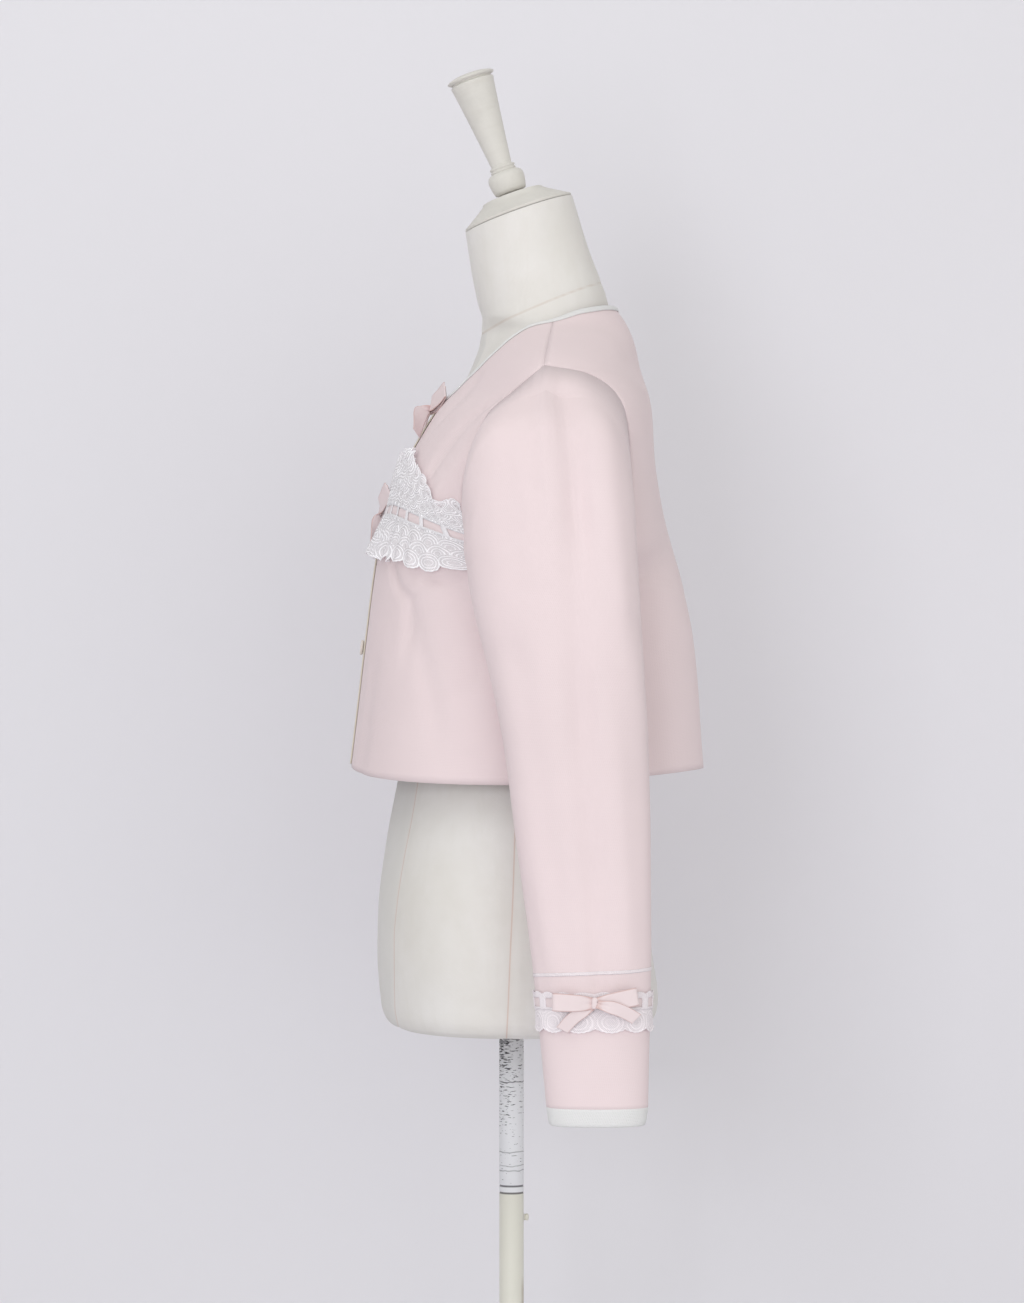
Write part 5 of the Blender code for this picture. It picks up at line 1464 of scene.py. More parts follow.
def form_rings():
    """Sections of the dress form from the underside to the top of the neck."""
    sections = list(FORM_TORSO)
    for height, widest in FORM_SHOULDERS:
        above = height + FORM_DROP
        sections.append(
            FormSection(
                height,
                min(float(column(BODY_SECTIONS, "half_width", above)) - 0.001, widest),
                float(column(BODY_SECTIONS, "front", above)) + FORM_INSET,
                float(column(BODY_SECTIONS, "back", above)) - FORM_INSET,
                float(column(BODY_SECTIONS, "front_power", above)),
                0.0,
            )
        )
    sections += list(FORM_NECK)
    rings = []
    for s in sections:
        t = np.linspace(0.0, 2.0 * math.pi, 400)
        middle = (s.front + s.back) / 2.0
        if 1.0 < s.height < FORM_NECK[0].height:
            middle = float(column(BODY_SECTIONS, "middle", s.height))
        depth = np.where(np.cos(t) > 0.0, middle - s.front, s.back - middle)
        back_power = s.power + 0.3 if s.height < FORM_SHOULDERS[0].height else s.power
        if FORM_SHOULDERS[0].height <= s.height < FORM_NECK[0].height:
            back_power = float(column(BODY_SECTIONS, "back_power", s.height + FORM_DROP))
        power = np.where(np.cos(t) > 0.0, s.power, back_power)
        x = s.half_width * signed_power(np.sin(t), 2.0 / power)
        y = middle - depth * signed_power(np.cos(t), 2.0 / power)
        z = s.height + math.tan(math.radians(s.tilt)) * (y - middle)
        dense = np.stack([x, y, z], axis=-1)
        if FORM_THROAT[0].height <= s.height < FORM_NECK[0].height:
            fill = max(s.front - float(column(FORM_THROAT, "front", s.height)), 0.0)
            dense[:, 1] -= fill * np.exp(-((dense[:, 0] / THROAT_WIDTH) ** 2)) * (np.cos(t) > 0.0)
        rings.append(resample(dense, np.linspace(0.0, 1.0, FORM_COLUMNS + 1))[:-1])
    return np.array(rings)


def turned(name, profile, paint, matrix, steps, rounding=0, start=0.0):
    """A turned piece from a profile of radius and distance along the axis, in millimetres."""
    line = [(radius, along) for radius, along in profile]
    for _ in range(rounding):
        softer = [line[0]]
        for (r0, a0), (r1, a1) in zip(line, line[1:]):
            softer.append((r0 * 0.75 + r1 * 0.25, a0 * 0.75 + a1 * 0.25))
            softer.append((r0 * 0.25 + r1 * 0.75, a0 * 0.25 + a1 * 0.75))
        line = softer + [line[-1]]
    vertices = [(r * MILLIMETRE, 0.0, start + a * MILLIMETRE) for r, a in line]
    mesh = bpy.data.meshes.new(name)
    mesh.from_pydata(vertices, [(i, i + 1) for i in range(len(vertices) - 1)], [])
    piece = bpy.data.objects.new(name, mesh)
    bpy.context.scene.collection.objects.link(piece)
    screw = piece.modifiers.new("Turn", "SCREW")
    screw.steps = steps
    screw.render_steps = steps
    screw.use_merge_vertices = True
    screw.merge_threshold = 0.00001
    screw.use_smooth_shade = True
    mesh.materials.append(paint)
    piece.matrix_world = matrix
    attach(piece, "root")
    return piece


def form_seams(ring):
    """Places round one ring where the form's panels are sewn: fractions of its length, in order."""
    height = float(np.mean(ring[:, 2]))
    half = len(ring) // 2 + 1
    along = lengths_along(np.concatenate([ring, ring[:1]]))
    share = along[:half] / along[-1]
    places = [0.0]
    for name in ("princess", "side", "back_princess"):
        sewn = float(np.interp(column(FORM_SEAMS, name, height), ring[:half, 1], share))
        places.append(max(sewn, places[-1] + NARROWEST_PANEL))
    places = [0.0] + [min(place, 0.5 - NARROWEST_PANEL * (3 - i)) for i, place in enumerate(places[1:])]
    return np.array(places + [0.5] + [1.0 - place for place in places[:0:-1]] + [1.0])


def dress_form(paints):
    """The padded torso: fine rings through the same sections as the solid, with a column on each seam."""
    rings = form_rings()
    stations = np.linspace(0.0, len(rings) - 1, FORM_ROWS)
    flat = rings.reshape(len(rings), -1)
    curves = [smooth_curve(np.arange(len(rings)), flat[:, k], stations) for k in range(flat.shape[1])]
    fine = np.stack(curves, axis=1).reshape(FORM_ROWS, -1, 3)
    panels = 8
    steps = FORM_COLUMNS // panels
    between_seams = np.arange(FORM_COLUMNS + 1) / steps
    points = np.empty((FORM_ROWS, FORM_COLUMNS + 1, 3))
    distance = np.empty(points.shape[:2])
    for i, ring in enumerate(fine):
        places = form_seams(ring)
        shares = np.interp(between_seams, np.arange(panels + 1), places)
        closed_ring = np.concatenate([ring, ring[:1]])
        length = lengths_along(closed_ring)[-1]
        points[i] = resample(closed_ring, shares)
        distance[i] = length * np.abs(shares[:, None] - places[None, :]).min(axis=1)
    # painted shade: the front panel between the princess seams is marked to be painted darker, where the
    # form turns away from the light
    front_panel_shade = (between_seams < 1.0) | (between_seams > panels - 1.0)
    seam_height = NECK_SEAM_HEIGHT + NECK_SEAM_SLOPE * (points[..., 1] - NECK_TOP_Y)
    below_neck = points[..., 2] < seam_height
    distance = distance + 0.03 * ease((points[..., 2] - 1.24) / 0.02)
    neck_distance = np.abs(points[..., 2] - seam_height)
    normals = grid_normals(points, closed=True)
    groove = SEAM_GROOVE * np.exp(-((distance / SEAM_GROOVE_WIDTH) ** 2))
    neck_groove = NECK_GROOVE * np.exp(-((neck_distance / NECK_GROOVE_WIDTH) ** 2))
    points = (points - normals * (groove + neck_groove)[..., None])[:, :-1]
    count = FORM_COLUMNS
    faces = []
    for i in range(FORM_ROWS - 1):
        for j in range(count):
            k = (j + 1) % count
            faces.append((i * count + j, i * count + k, (i + 1) * count + k, (i + 1) * count + j))
    faces.append(tuple(range(count))[::-1])
    faces.append(tuple(range(FORM_ROWS * count - count, FORM_ROWS * count)))
    coordinates = cloth_lengths(points).reshape(-1, 2)
    panel = np.broadcast_to(front_panel_shade[None, :-1], points.shape[:2]) * below_neck[:, :-1]
    values = {
        "seam": distance[:, :-1].reshape(-1),
        "neck_seam": neck_distance[:, :-1].reshape(-1),
        "front_panel_shade": panel.astype(float).reshape(-1),
    }
    mesh = build_mesh("dress_form_cover", points.reshape(-1, 3), faces, coordinates, values)
    mesh.set_sharp_from_angle(angle=math.radians(55.0))
    new_piece("dress_form_cover", mesh, paints["linen"], ["form_torso"])


def stand(paints):
    """Cap, finial, pole, stud and base."""
    lean = Matrix.Rotation(math.radians(NECK_LEAN), 4, "X")
    axis = Matrix.Translation((0.0, NECK_TOP_Y, NECK_TOP_Z)) @ lean
    cap = turned("neck_cap_wood", CAP_PROFILE, paints["wood"], axis, 96, 1, SEAM_GAP)
    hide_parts("neck_cap")
    above_cap = CAP_HEIGHT + 2.0 * SEAM_GAP
    finial = turned("finial_wood", FINIAL_PROFILE, paints["wood"], axis, 72, 1, above_cap)
    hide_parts("finial")
    foot = (BASE_PROFILE[0].along * MILLIMETRE + SEAM_GAP) / MILLIMETRE
    top = (FORM_TORSO[0].height - SEAM_GAP) / MILLIMETRE
    radius = POLE_RADIUS / MILLIMETRE
    profile = [(0.0, top), (radius, top)]
    for middle in POLE_RINGS:
        profile += [(radius - depth, (middle + away) / MILLIMETRE) for away, depth in POLE_RING_CUT]
    profile += [(radius, foot), (0.0, foot)]
    upright = Matrix.Identity(4)
    pole = turned("pole_tube", profile, paints["pole"], upright, 64)
    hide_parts("pole")
    base = turned("base_disc", BASE_PROFILE, paints["base"], upright, 128)
    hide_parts("base_plate")
    backward = Matrix.Rotation(-math.pi / 2.0, 4, "X")
    place = Matrix.Translation((0.0, POLE_RADIUS + SEAM_GAP, STUD_HEIGHT)) @ backward
    stud = turned("pole_stud_cap", STUD_PROFILE, paints["pole_plain"], place, 32)
    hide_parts("pole_stud")


def node(tree, kind, inputs=(), **settings):
    """A shader node with its settings and inputs; an input may be another node's output."""
    made = tree.nodes.new(kind)
    for key, value in settings.items():
        setattr(made, key, value)
    for key, value in inputs:
        if isinstance(value, bpy.types.NodeSocket):
            tree.links.new(value, made.inputs[key])
        else:
            made.inputs[key].default_value = value
    return made


def calc(tree, operation, first, second=0.0, third=0.0):
    """One step of arithmetic between node outputs or numbers."""
    inputs = ((0, first), (1, second), (2, third))
    return node(tree, "ShaderNodeMath", inputs, operation=operation).outputs[0]


def between(tree, value, low, high, to_low=0.0, to_high=1.0):
    """Maps a value from one range to another, held at both ends."""
    inputs = (
        ("Value", value),
        ("From Min", low),
        ("From Max", high),
        ("To Min", to_low),
        ("To Max", to_high),
    )
    return node(tree, "ShaderNodeMapRange", inputs, clamp=True).outputs["Result"]


def mixed(tree, share, first, second):
    """A colour between two colours."""
    made = node(tree, "ShaderNodeMix", data_type="RGBA")
    for spot, value in ((0, share), (6, first), (7, second)):
        if isinstance(value, bpy.types.NodeSocket):
            tree.links.new(value, made.inputs[spot])
        elif spot == 0:
            made.inputs[spot].default_value = value
        else:
            made.inputs[spot].default_value = (*value, 1.0)
    return made.outputs[2]


def speckle(tree, place, scale, detail=2.0, rough=0.5):
    """Soft noise at a place, from 0 to 1."""
    inputs = (("Vector", place), ("Scale", scale), ("Detail", detail), ("Roughness", rough))
    return node(tree, "ShaderNodeTexNoise", inputs).outputs["Fac"]


def attribute(tree, name):
    """A named value of the mesh's points."""
    return node(tree, "ShaderNodeAttribute", attribute_name=name).outputs["Fac"]


def shaded(colour, red, green=None, blue=None):
    """A colour times one factor, or times a factor for each channel."""
    factors = (red, red, red) if green is None else (red, green, blue)
    return tuple(c * f for c, f in zip(colour, factors))


def painted(tree, shader, tone, rough):
    """Joins the colour and the roughness to the shader."""
    tree.links.new(tone, shader.inputs["Base Color"])
    tree.links.new(rough, shader.inputs["Roughness"])


def scaled(tree, place, factors):
    """A place stretched along its axes."""
    return node(tree, "ShaderNodeMapping", (("Vector", place), ("Scale", factors))).outputs[0]


def blank(name, roughness, sheen=0.0):
    """A material with its shader, its tree, its woven coordinates and its object coordinates."""
    material = bpy.data.materials.new(name)
    material.use_nodes = True
    tree = material.node_tree
    shader = tree.nodes["Principled BSDF"]
    shader.inputs["Roughness"].default_value = roughness
    shader.inputs["Specular IOR Level"].default_value = 0.25
    if sheen:
        shader.inputs["Sheen Weight"].default_value = sheen
        shader.inputs["Sheen Roughness"].default_value = 0.5
    places = node(tree, "ShaderNodeTexCoord")
    return material, tree, shader, places.outputs["UV"], places.outputs["Object"]


def relief_on(tree, shader, height, distance, strength=1.0):
    """Joins a height to the shader as fine relief."""
    inputs = (("Strength", strength), ("Distance", distance), ("Height", height))
    bump = node(tree, "ShaderNodeBump", inputs)
    tree.links.new(bump.outputs[0], shader.inputs["Normal"])


def waves(tree, value, pitch):
    """A cosine of a coordinate, from 0 to 1."""
    turned_value = calc(tree, "MULTIPLY", value, 2.0 * math.pi / pitch)
    return calc(tree, "MULTIPLY_ADD", calc(tree, "COSINE", turned_value), 0.5, 0.5)


def knit_paint(name, colour, wale, course, depth, strength=0.9):
    """Plain knit: columns of V-shaped stitches, a little uneven in tone and fuzz, with painted shade
    between the stitches.
    """
    material, tree, shader, weave, place = blank(name, 0.9, 0.12)
    split = node(tree, "ShaderNodeSeparateXYZ", ((0, weave),))
    u, v = split.outputs[0], split.outputs[1]
    leg = calc(tree, "PINGPONG", u, wale / 2.0)
    slanted = calc(tree, "ADD", v, calc(tree, "MULTIPLY", leg, course / wale * 1.2))
    rows = waves(tree, slanted, course)
    columns = waves(tree, u, wale)
    stitch = calc(tree, "MULTIPLY", calc(tree, "SUBTRACT", 1.0, calc(tree, "MULTIPLY", columns, 0.7)), rows)
    fuzz = speckle(tree, place, 900.0, 2.0, 0.6)
    height = calc(tree, "MULTIPLY_ADD", fuzz, 0.5, stitch)
    relief_on(tree, shader, height, depth, strength)
    mottle = speckle(tree, place, 9.0, 3.0, 0.55)
    tone = mixed(tree, between(tree, mottle, 0.35, 0.7), colour, shaded(colour, 0.955))
    # painted shade: the colour darkens in the hollows between the stitches
    stitch_gap_shade = calc(tree, "MULTIPLY", calc(tree, "SUBTRACT", 1.0, stitch), 0.22)
    tone = mixed(tree, stitch_gap_shade, tone, shaded(colour, 0.93))
    painted(tree, shader, tone, between(tree, fuzz, 0.3, 0.7, 0.84, 0.96))
    return material


def lace_paint(name, colour, sheer):
    """Embroidered net: the ground is sheer and a little darker with painted shade, the worked arcs and
    edges are dense.
    """
    material, tree, shader, weave, place = blank(name, 0.85, 0.10)
    split = node(tree, "ShaderNodeSeparateXYZ", ((0, weave),))
    u, v = split.outputs[0], split.outputs[1]
    rim = attribute(tree, "rim")
    worked = attribute(tree, "relief")
    first = waves(tree, calc(tree, "ADD", u, v), NET_PITCH)
    second = waves(tree, calc(tree, "SUBTRACT", u, v), NET_PITCH)
    net = calc(tree, "MAXIMUM", first, second)
    dense = calc(tree, "MAXIMUM", between(tree, worked, 0.15, 0.75), rim)
    thread = waves(tree, calc(tree, "ADD", u, calc(tree, "MULTIPLY", v, 0.3)), 0.00055)
    raised = calc(tree, "MULTIPLY", dense, calc(tree, "MULTIPLY_ADD", thread, 0.5, 1.0))
    relief_on(tree, shader, calc(tree, "ADD", raised, net), 0.00010, 0.35)
    ground = between(tree, net, 0.45, 0.85, sheer, sheer + 0.25)
    cover = calc(tree, "MAXIMUM", ground, dense)
    tree.links.new(calc(tree, "MINIMUM", cover, 1.0), shader.inputs["Alpha"])
    # painted shade: the sheer ground between the worked arcs is painted a little darker than the raised
    # embroidery
    tone = mixed(tree, between(tree, dense, 0.0, 0.6), shaded(colour, 0.96), colour)
    painted(tree, shader, tone, between(tree, speckle(tree, place, 500.0), 0.3, 0.7, 0.8, 0.92))
    return material


def ribbon_paint(name, colour, edge):
    """Satin ribbon: a fine weft sheen, and painted shade, deeper and redder, in its folds and at its edges.
    """
    material, tree, shader, weave, _ = blank(name, 0.42, 0.08)
    split = node(tree, "ShaderNodeSeparateXYZ", ((0, weave),))
    fold = attribute(tree, "fold")
    weft = waves(tree, split.outputs[0], 0.0007)
    grain = speckle(tree, scaled(tree, weave, (60.0, 1800.0, 1.0)), 1.0, 2.0, 0.5)
    height = calc(tree, "MULTIPLY_ADD", grain, 0.7, weft)
    relief_on(tree, shader, height, 0.00004, 0.5)
    # painted shade: the fold value darkens and reddens the ribbon at its edges, under the bars and in its
    # gathers
    tone = mixed(tree, between(tree, fold, 0.34, 0.98, 0.0, 0.62), colour, edge)
    painted(tree, shader, tone, between(tree, grain, 0.3, 0.7, 0.36, 0.5))
    return material


def linen_paint(name, colour):
    """Weathered linen over the form: a plain weave, faint stains, a brown line in each seam, and painted
    shade on the front panel.
    """
    material, tree, shader, weave, place = blank(name, 0.85, 0.05)
    split = node(tree, "ShaderNodeSeparateXYZ", ((0, weave),))
    warp = waves(tree, split.outputs[0], 0.0011)
    weft = waves(tree, split.outputs[1], 0.0011)
    slub = speckle(tree, scaled(tree, weave, (700.0, 120.0, 1.0)), 1.0, 2.0, 0.6)
    height = calc(tree, "ADD", calc(tree, "MAXIMUM", warp, weft), calc(tree, "MULTIPLY", slub, 0.6))
    relief_on(tree, shader, height, 0.00018, 0.5)
    worn = speckle(tree, place, 7.0, 5.0, 0.62)
    streak = speckle(tree, scaled(tree, place, (60.0, 60.0, 7.0)), 1.0, 4.0, 0.6)
    stain = shaded(colour, 0.90, 0.89, 0.86)
    tone = mixed(tree, between(tree, worn, 0.42, 0.74), colour, stain)
    tone = mixed(tree, between(tree, streak, 0.5, 0.8, 0.0, 0.55), tone, stain)
    # painted shade: the front panel below the neck is painted darker, for the shade where the form turns
    # away from the light
    panel = attribute(tree, "front_panel_shade")
    tone = mixed(tree, calc(tree, "MULTIPLY", panel, 0.5), tone, shaded(colour, 0.84, 0.85, 0.85))
    seam = attribute(tree, "seam")
    halo = between(tree, seam, 0.0006, 0.0040, 0.22, 0.0)
    tone = mixed(tree, halo, tone, shaded(colour, 0.86, 0.80, 0.76))
    line = between(tree, seam, SEAM_LINE * 0.5, SEAM_LINE * 1.6, 0.55, 0.0)
    tone = mixed(tree, line, tone, (0.62, 0.43, 0.36))
    neck_line = between(tree, attribute(tree, "neck_seam"), 0.0003, 0.0016, 0.35, 0.0)
    tone = mixed(tree, neck_line, tone, (0.55, 0.44, 0.36))
    painted(tree, shader, tone, between(tree, slub, 0.3, 0.7, 0.78, 0.93))
    return material


def wood_paint(name, colour):
    """Old cream paint on turned wood, rubbed and a little grimy, with a faint grain."""
    material, tree, shader, _, place = blank(name, 0.55)
    grain = speckle(tree, scaled(tree, place, (30.0, 30.0, 220.0)), 1.0, 3.0, 0.6)
    grime = speckle(tree, place, 28.0, 4.0, 0.65)
    tone = mixed(tree, between(tree, grime, 0.45, 0.75), colour, shaded(colour, 0.92))
    tone = mixed(tree, between(tree, grain, 0.5, 0.8, 0.0, 0.14), tone, (0.50, 0.46, 0.40))
    relief_on(tree, shader, calc(tree, "ADD", grain, grime), 0.00015, 0.5)
    painted(tree, shader, tone, between(tree, grime, 0.3, 0.7, 0.48, 0.66))
    return material


def enamel_paint(name, colour, worn):
    """Cream enamel on metal; the worn pole has dark chips and rings below the form."""
    material, tree, shader, _, place = blank(name, 0.4)
    cloud = speckle(tree, place, 14.0, 4.0, 0.6)
    tone = mixed(tree, between(tree, cloud, 0.45, 0.75), colour, shaded(colour, 0.93))
    height = speckle(tree, place, 260.0, 2.0, 0.5)
    if worn:
        x, y, z = node(tree, "ShaderNodeSeparateXYZ", ((0, place),)).outputs
        dark = pole_wear(tree, place, x, y, z)
        above = between(tree, z, POLE_RINGS[1], POLE_RINGS[1] + 0.001)
        tone = mixed(tree, above, tone, (0.73, 0.735, 0.76))
        streak = calc(tree, "MULTIPLY", between(tree, y, POLE_RADIUS * 0.75, POLE_RADIUS),
                      between(tree, z, 0.500, 0.488))
        tone = mixed(tree, calc(tree, "MULTIPLY", streak, 0.6), tone, (0.30, 0.22, 0.15))
        tone = mixed(tree, calc(tree, "MULTIPLY", dark, 0.95), tone, (0.045, 0.042, 0.05))
        height = calc(tree, "SUBTRACT", calc(tree, "MULTIPLY", height, 0.3), dark)
    relief_on(tree, shader, height, 0.00012, 0.5)
    painted(tree, shader, tone, between(tree, cloud, 0.3, 0.7, 0.34, 0.5))
    return material


def pole_wear(tree, place, x, y, z):
    """Where the pole's paint is gone: chips, larger patches, thin lines and the two rings."""
    turn = calc(tree, "MULTIPLY", calc(tree, "ARCTAN2", y, x), 1.7)
    rise = calc(tree, "MULTIPLY", z, 820.0)
    around = node(tree, "ShaderNodeCombineXYZ", ((0, turn), (1, rise))).outputs[0]
    ticks = speckle(tree, around, 1.0, 2.0, 0.6)
    patches = speckle(tree, scaled(tree, place, (90.0, 90.0, 150.0)), 1.0, 3.0, 0.6)
    zone = calc(tree, "MULTIPLY", between(tree, z, SCRATCH_BOTTOM, SCRATCH_TOP),
                between(tree, y, POLE_RADIUS, -POLE_RADIUS, 0.35, 1.0))
    below = between(tree, z, SCRATCH_BOTTOM - 0.002, SCRATCH_BOTTOM)
    needed = between(tree, zone, 0.0, 1.0, 0.68, 0.49)
    chips = between(tree, calc(tree, "SUBTRACT", ticks, needed), 0.0, 0.03)
    larger = between(tree, calc(tree, "SUBTRACT", patches, needed), 0.08, 0.11, 0.0, 0.7)
    dark = calc(tree, "MULTIPLY", calc(tree, "MAXIMUM", chips, larger), below)
    wobble = calc(tree, "MULTIPLY", calc(tree, "SUBTRACT", speckle(tree, place, 90.0), 0.5), 0.004)
    bent = calc(tree, "ADD", z, wobble)
    for line_height, width, strength in POLE_LINES:
        away = calc(tree, "ABSOLUTE", calc(tree, "SUBTRACT", bent, line_height))
        dark = calc(tree, "MAXIMUM", dark, between(tree, away, width * 0.4, width, strength, 0.0))
    for ring in POLE_RINGS:
        away = calc(tree, "ABSOLUTE", calc(tree, "SUBTRACT", z, ring))
        dark = calc(tree, "MAXIMUM", dark, between(tree, away, 0.0005, 0.0011, 0.85, 0.0))
    return dark


def pearl_paint(name, colour):
    """Pale shell, for the button."""
    material, tree, shader, _, place = blank(name, 0.3)
    shader.inputs["Coat Weight"].default_value = 0.3
    swirl = speckle(tree, place, 320.0, 3.0, 0.5)
    tone = mixed(tree, between(tree, swirl, 0.35, 0.7), colour, (0.72, 0.64, 0.60))
    relief_on(tree, shader, swirl, 0.00005, 0.5)
    painted(tree, shader, tone, between(tree, swirl, 0.3, 0.7, 0.24, 0.38))
    return material


def room_paint(name, colour, from_front_only=False):
    """Plain pale backdrop paint; the wall isn't seen from behind."""
    material, tree, shader, _, place = blank(name, 0.9)
    tone = mixed(tree, between(tree, speckle(tree, place, 1.2), 0.3, 0.7), colour, shaded(colour, 0.985))
    tree.links.new(tone, shader.inputs["Base Color"])
    relief_on(tree, shader, speckle(tree, place, 300.0), 0.0002, 0.2)
    if from_front_only:
        behind = node(tree, "ShaderNodeNewGeometry").outputs["Backfacing"]
        tree.links.new(calc(tree, "SUBTRACT", 1.0, behind), shader.inputs["Alpha"])
    return material


def all_paints():
    """Every material of the part, by a short name."""
    return {
        "knit": knit_paint("knit_pink", (0.800, 0.678, 0.692), WALE, COURSE, 0.00020, 0.35),
        # seam allowances: a darker copy of the knit, painted shade for the seam gaps they show through
        "seam": knit_paint("seam_pink_painted_shade", (0.66, 0.44, 0.46), WALE, COURSE, 0.00020, 0.35),
        "rib": knit_paint("rib_white", (0.81, 0.81, 0.81), 0.0019, 0.0012, 0.00030),
        "stitch": knit_paint("stitch_white", (0.87, 0.80, 0.83), 0.0019, 0.0012, 0.00030),
        "band": knit_paint("band_cream", (0.80, 0.74, 0.62), 0.0021, 0.0008, 0.00025),
        "lace": lace_paint("lace_white", (0.975, 0.96, 0.99), 0.32),
        "cuff_lace": lace_paint("cuff_lace_white", (0.965, 0.905, 0.94), 0.60),
        # the second colour is the ribbon's painted shade, for its folds and edges
        "ribbon": ribbon_paint("ribbon_pink", (0.765, 0.655, 0.665), (0.60, 0.36, 0.32)),
        "linen": linen_paint("form_linen", (0.785, 0.765, 0.745)),
        "wood": wood_paint("finial_cream", (0.68, 0.66, 0.62)),
        "pole": enamel_paint("pole_cream", (0.70, 0.69, 0.62), True),
        "pole_plain": enamel_paint("stud_cream", (0.68, 0.66, 0.58), False),
        "base": enamel_paint("base_cream", (0.70, 0.69, 0.62), False),
        "pearl": pearl_paint("button_shell", (0.74, 0.70, 0.66)),
    }


def knit_panels(paints):
    """Fronts, back and sleeves; returns the surfaces that each side's trims lie on, and the left front."""
    half_front = half_panel(True, FRONT_COLUMNS)
    half_back = half_panel(False, BACK_HALF_COLUMNS)
    whole_back = np.concatenate([half_back[:, :0:-1], mirrored(half_back)[:, ::-1]], axis=1)
    back = grained(folded(whole_back, BACK_FOLDS))
    back_piece = cloth("back_cloth", back, paints["knit"], KNIT_WALL, stands_for=["back"])
    surfaces = {}
    fronts = {}
    tapes = []
    for side_name, front_folds, sleeve_folds in (
        ("left", FRONT_FOLDS, SLEEVE_FOLDS),
        ("right", FRONT_FOLDS_RIGHT, SLEEVE_FOLDS_RIGHT),
    ):
        flip = side_name == "right"
        front = grained(folded(half_front, front_folds))
        sleeve = folded(sleeve_grid(front, half_back), sleeve_folds, closed=True)
        sleeve[:-1] = grained(sleeve, closed=True)[:-1]
        front_piece = cloth(f"front_{side_name}_cloth", on_side(flip, front), paints["knit"],
                            KNIT_WALL, stands_for=[f"front_{side_name}"])
        sleeve_piece = cloth(f"sleeve_{side_name}_cloth", on_side(flip, sleeve), paints["knit"],
                             KNIT_WALL, closed=True, stands_for=[f"sleeve_{side_name}"])
        tapes += seam_tapes(front, half_back, sleeve, side_name, paints)
        fronts[side_name] = front
        surfaces[side_name] = (Surface(front), Surface(sleeve, closed=True), sleeve)
    trim = neck_trim(fronts["left"], back, paints)
    return surfaces, fronts["left"]


def seam_tapes(front, half_back, sleeve, side_name, paints):
    """Seam allowances inside the armhole, and inside the side and shoulder seams, in a darker copy of the
    knit that paints the shade in the seams' gaps.
    """
    flip = side_name == "right"
    front_normals = grid_normals(front)
    back_normals = grid_normals(half_back[:, ::-1])[:, ::-1]
    inside = front - front_normals * TAPE_DEPTH
    inside_back = half_back - back_normals * TAPE_DEPTH
    panel_loop = armhole_loop(inside[:, :-TAPE_COLUMNS], inside_back[:, :-TAPE_COLUMNS])
    edge_loop = armhole_loop(inside, inside_back)
    sleeve_normals = grid_normals(sleeve, closed=True)
    sleeve_loop = (sleeve - sleeve_normals * TAPE_DEPTH)[-1 - TAPE_ROWS, :-1]
    rings = np.array([sleeve_loop, edge_loop, panel_loop])
    rings = np.concatenate([rings, rings[:, :1]], axis=1)
    pieces = [rings]
    for rows in (slice(0, SIDE_ROWS + 1), slice(SIDE_ROWS + ARMHOLE_ROWS, None)):
        seam = (inside[rows, -1] + inside_back[rows, -1]) / 2.0
        edges = [inside[rows, -1 - TAPE_COLUMNS], seam, inside_back[rows, -1 - TAPE_COLUMNS]]
        pieces.append(np.stack(edges, axis=1))
    made = []
    for name, points in zip(("armhole", "side", "shoulder"), pieces):
        piece = cloth(f"seam_{name}_{side_name}", on_side(flip, points), paints["seam"], TAPE_WALL,
                      0.0, closed=name == "armhole")
        made.append(piece)
    return made


def chest_bows(surface, paints):
    """The bows at the centre front, at the neck and on the lace's ribbon."""
    for name, height, clear, shape in (
        ("neck_bow", NECK_BOW_HEIGHT, NECK_BOW_CLEARANCE, NECK_BOW),
        ("bust_bow", BUST_BOW_HEIGHT, BUST_BOW_CLEARANCE, BUST_BOW),
    ):
        low = surface.at(0.0, height - BOW_SPAN)
        here = surface.at(0.0, height)
        slope = Vector(here - low)
        slope.x = 0.0
        out = Vector((0.0, -slope.z, slope.y)).normalized()
        spot = Vector((0.0, here[1], here[2])) + out * clear
        up = slope.normalized()
        loops = ((LOOP_REACH, shape.rises[0], shape.sags[0]), (-LOOP_REACH, shape.rises[1], shape.sags[1]))
        sags = tuple(min(resting_end(surface, spot, up, out, end)[2], 0.0) for end in loops)
        ends = tuple(resting_end(surface, spot, up, out, end) for end in shape.tail_ends)
        shape = shape._replace(tail_ends=ends, sags=sags)
        bow(name, surface_frame(spot, slope, out), shape, False, paints)


def resting_end(surface, spot, slope, out, end):
    """A loop's or tail's end, given as sideways, up and its clearance, moved to rest on the cloth there."""
    sideways, up, clear = end
    height = spot.z + up * slope.z
    for _ in range(5):
        point = Vector(surface.at(abs(sideways) / CHEST_SPAN, height)) - spot
        height += (up - point.dot(slope)) * slope.z
    return sideways, up, point.dot(out) + clear


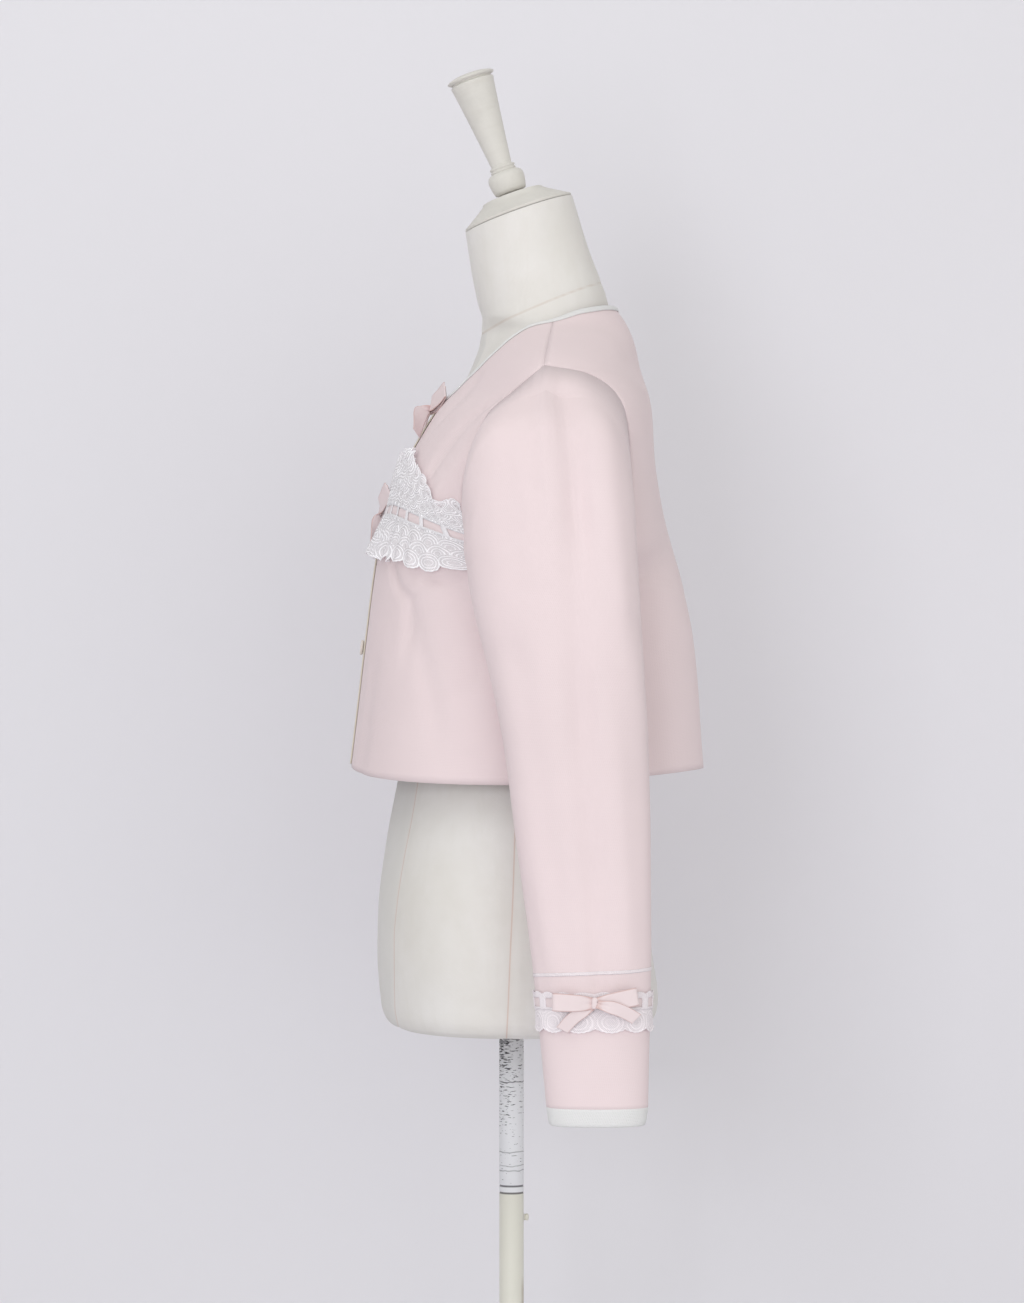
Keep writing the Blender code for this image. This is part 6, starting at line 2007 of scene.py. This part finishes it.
def stage():
    """Floor, back wall, lights and camera."""
    scene = bpy.context.scene
    far = FLOOR_REACH
    top = WALL_HEIGHT
    floor = [(-far, -far, 0.0), (far, -far, 0.0), (far, far, 0.0), (-far, far, 0.0)]
    wall = [(WALL_X, -far, 0.0), (WALL_X, far, 0.0), (WALL_X, far, top), (WALL_X, -far, top)]
    for name, corners in (("floor", floor), ("wall", wall)):
        mesh = bpy.data.meshes.new(f"studio_{name}")
        mesh.from_pydata(corners, [], [(0, 1, 2, 3)])
        mesh.materials.append(room_paint(f"backdrop_{name}", BACKDROP_COLOUR, name == "wall"))
        piece = bpy.data.objects.new(mesh.name, mesh)
        scene.collection.objects.link(piece)
    for name, place, aim, size, power, colour in LIGHTS:
        lamp = bpy.data.lights.new(name, "AREA")
        lamp.shape = "RECTANGLE"
        lamp.size, lamp.size_y = size
        lamp.energy = power
        lamp.color = colour
        holder = bpy.data.objects.new(name, lamp)
        scene.collection.objects.link(holder)
        holder.location = place
        holder.rotation_euler = (Vector(aim) - Vector(place)).to_track_quat("-Z", "Y").to_euler()
    world = bpy.data.worlds.new("studio_air")
    world.use_nodes = True
    air = world.node_tree.nodes["Background"]
    air.inputs["Color"].default_value = (*AIR_COLOUR, 1.0)
    air.inputs["Strength"].default_value = AIR_STRENGTH
    scene.world = world
    lens = bpy.data.cameras.new("photo_camera")
    lens.lens = CAMERA_LENS
    lens.sensor_width = CAMERA_SENSOR
    camera = bpy.data.objects.new("photo_camera", lens)
    scene.collection.objects.link(camera)
    camera.location = CAMERA_PLACE
    camera.rotation_euler = (math.radians(90.0), 0.0, math.radians(90.0))
    scene.camera = camera
    scene.view_settings.view_transform = "Standard"


def main():
    """The part from its knit panels to the stand, then the room it is seen in."""
    paints = all_paints()
    surfaces, front = knit_panels(paints)
    front_band(surfaces["left"][0], front, paints)
    button(surfaces["left"][0], paints)
    for side_name, (front_surface, sleeve_surface, sleeve) in surfaces.items():
        bust_lace(front_surface, side_name, paints)
        cuff(sleeve_surface, sleeve, side_name, paints)
    chest_bows(surfaces["left"][0], paints)
    dress_form(paints)
    stand(paints)
    stage()
    bpy.context.view_layer.update()


main()
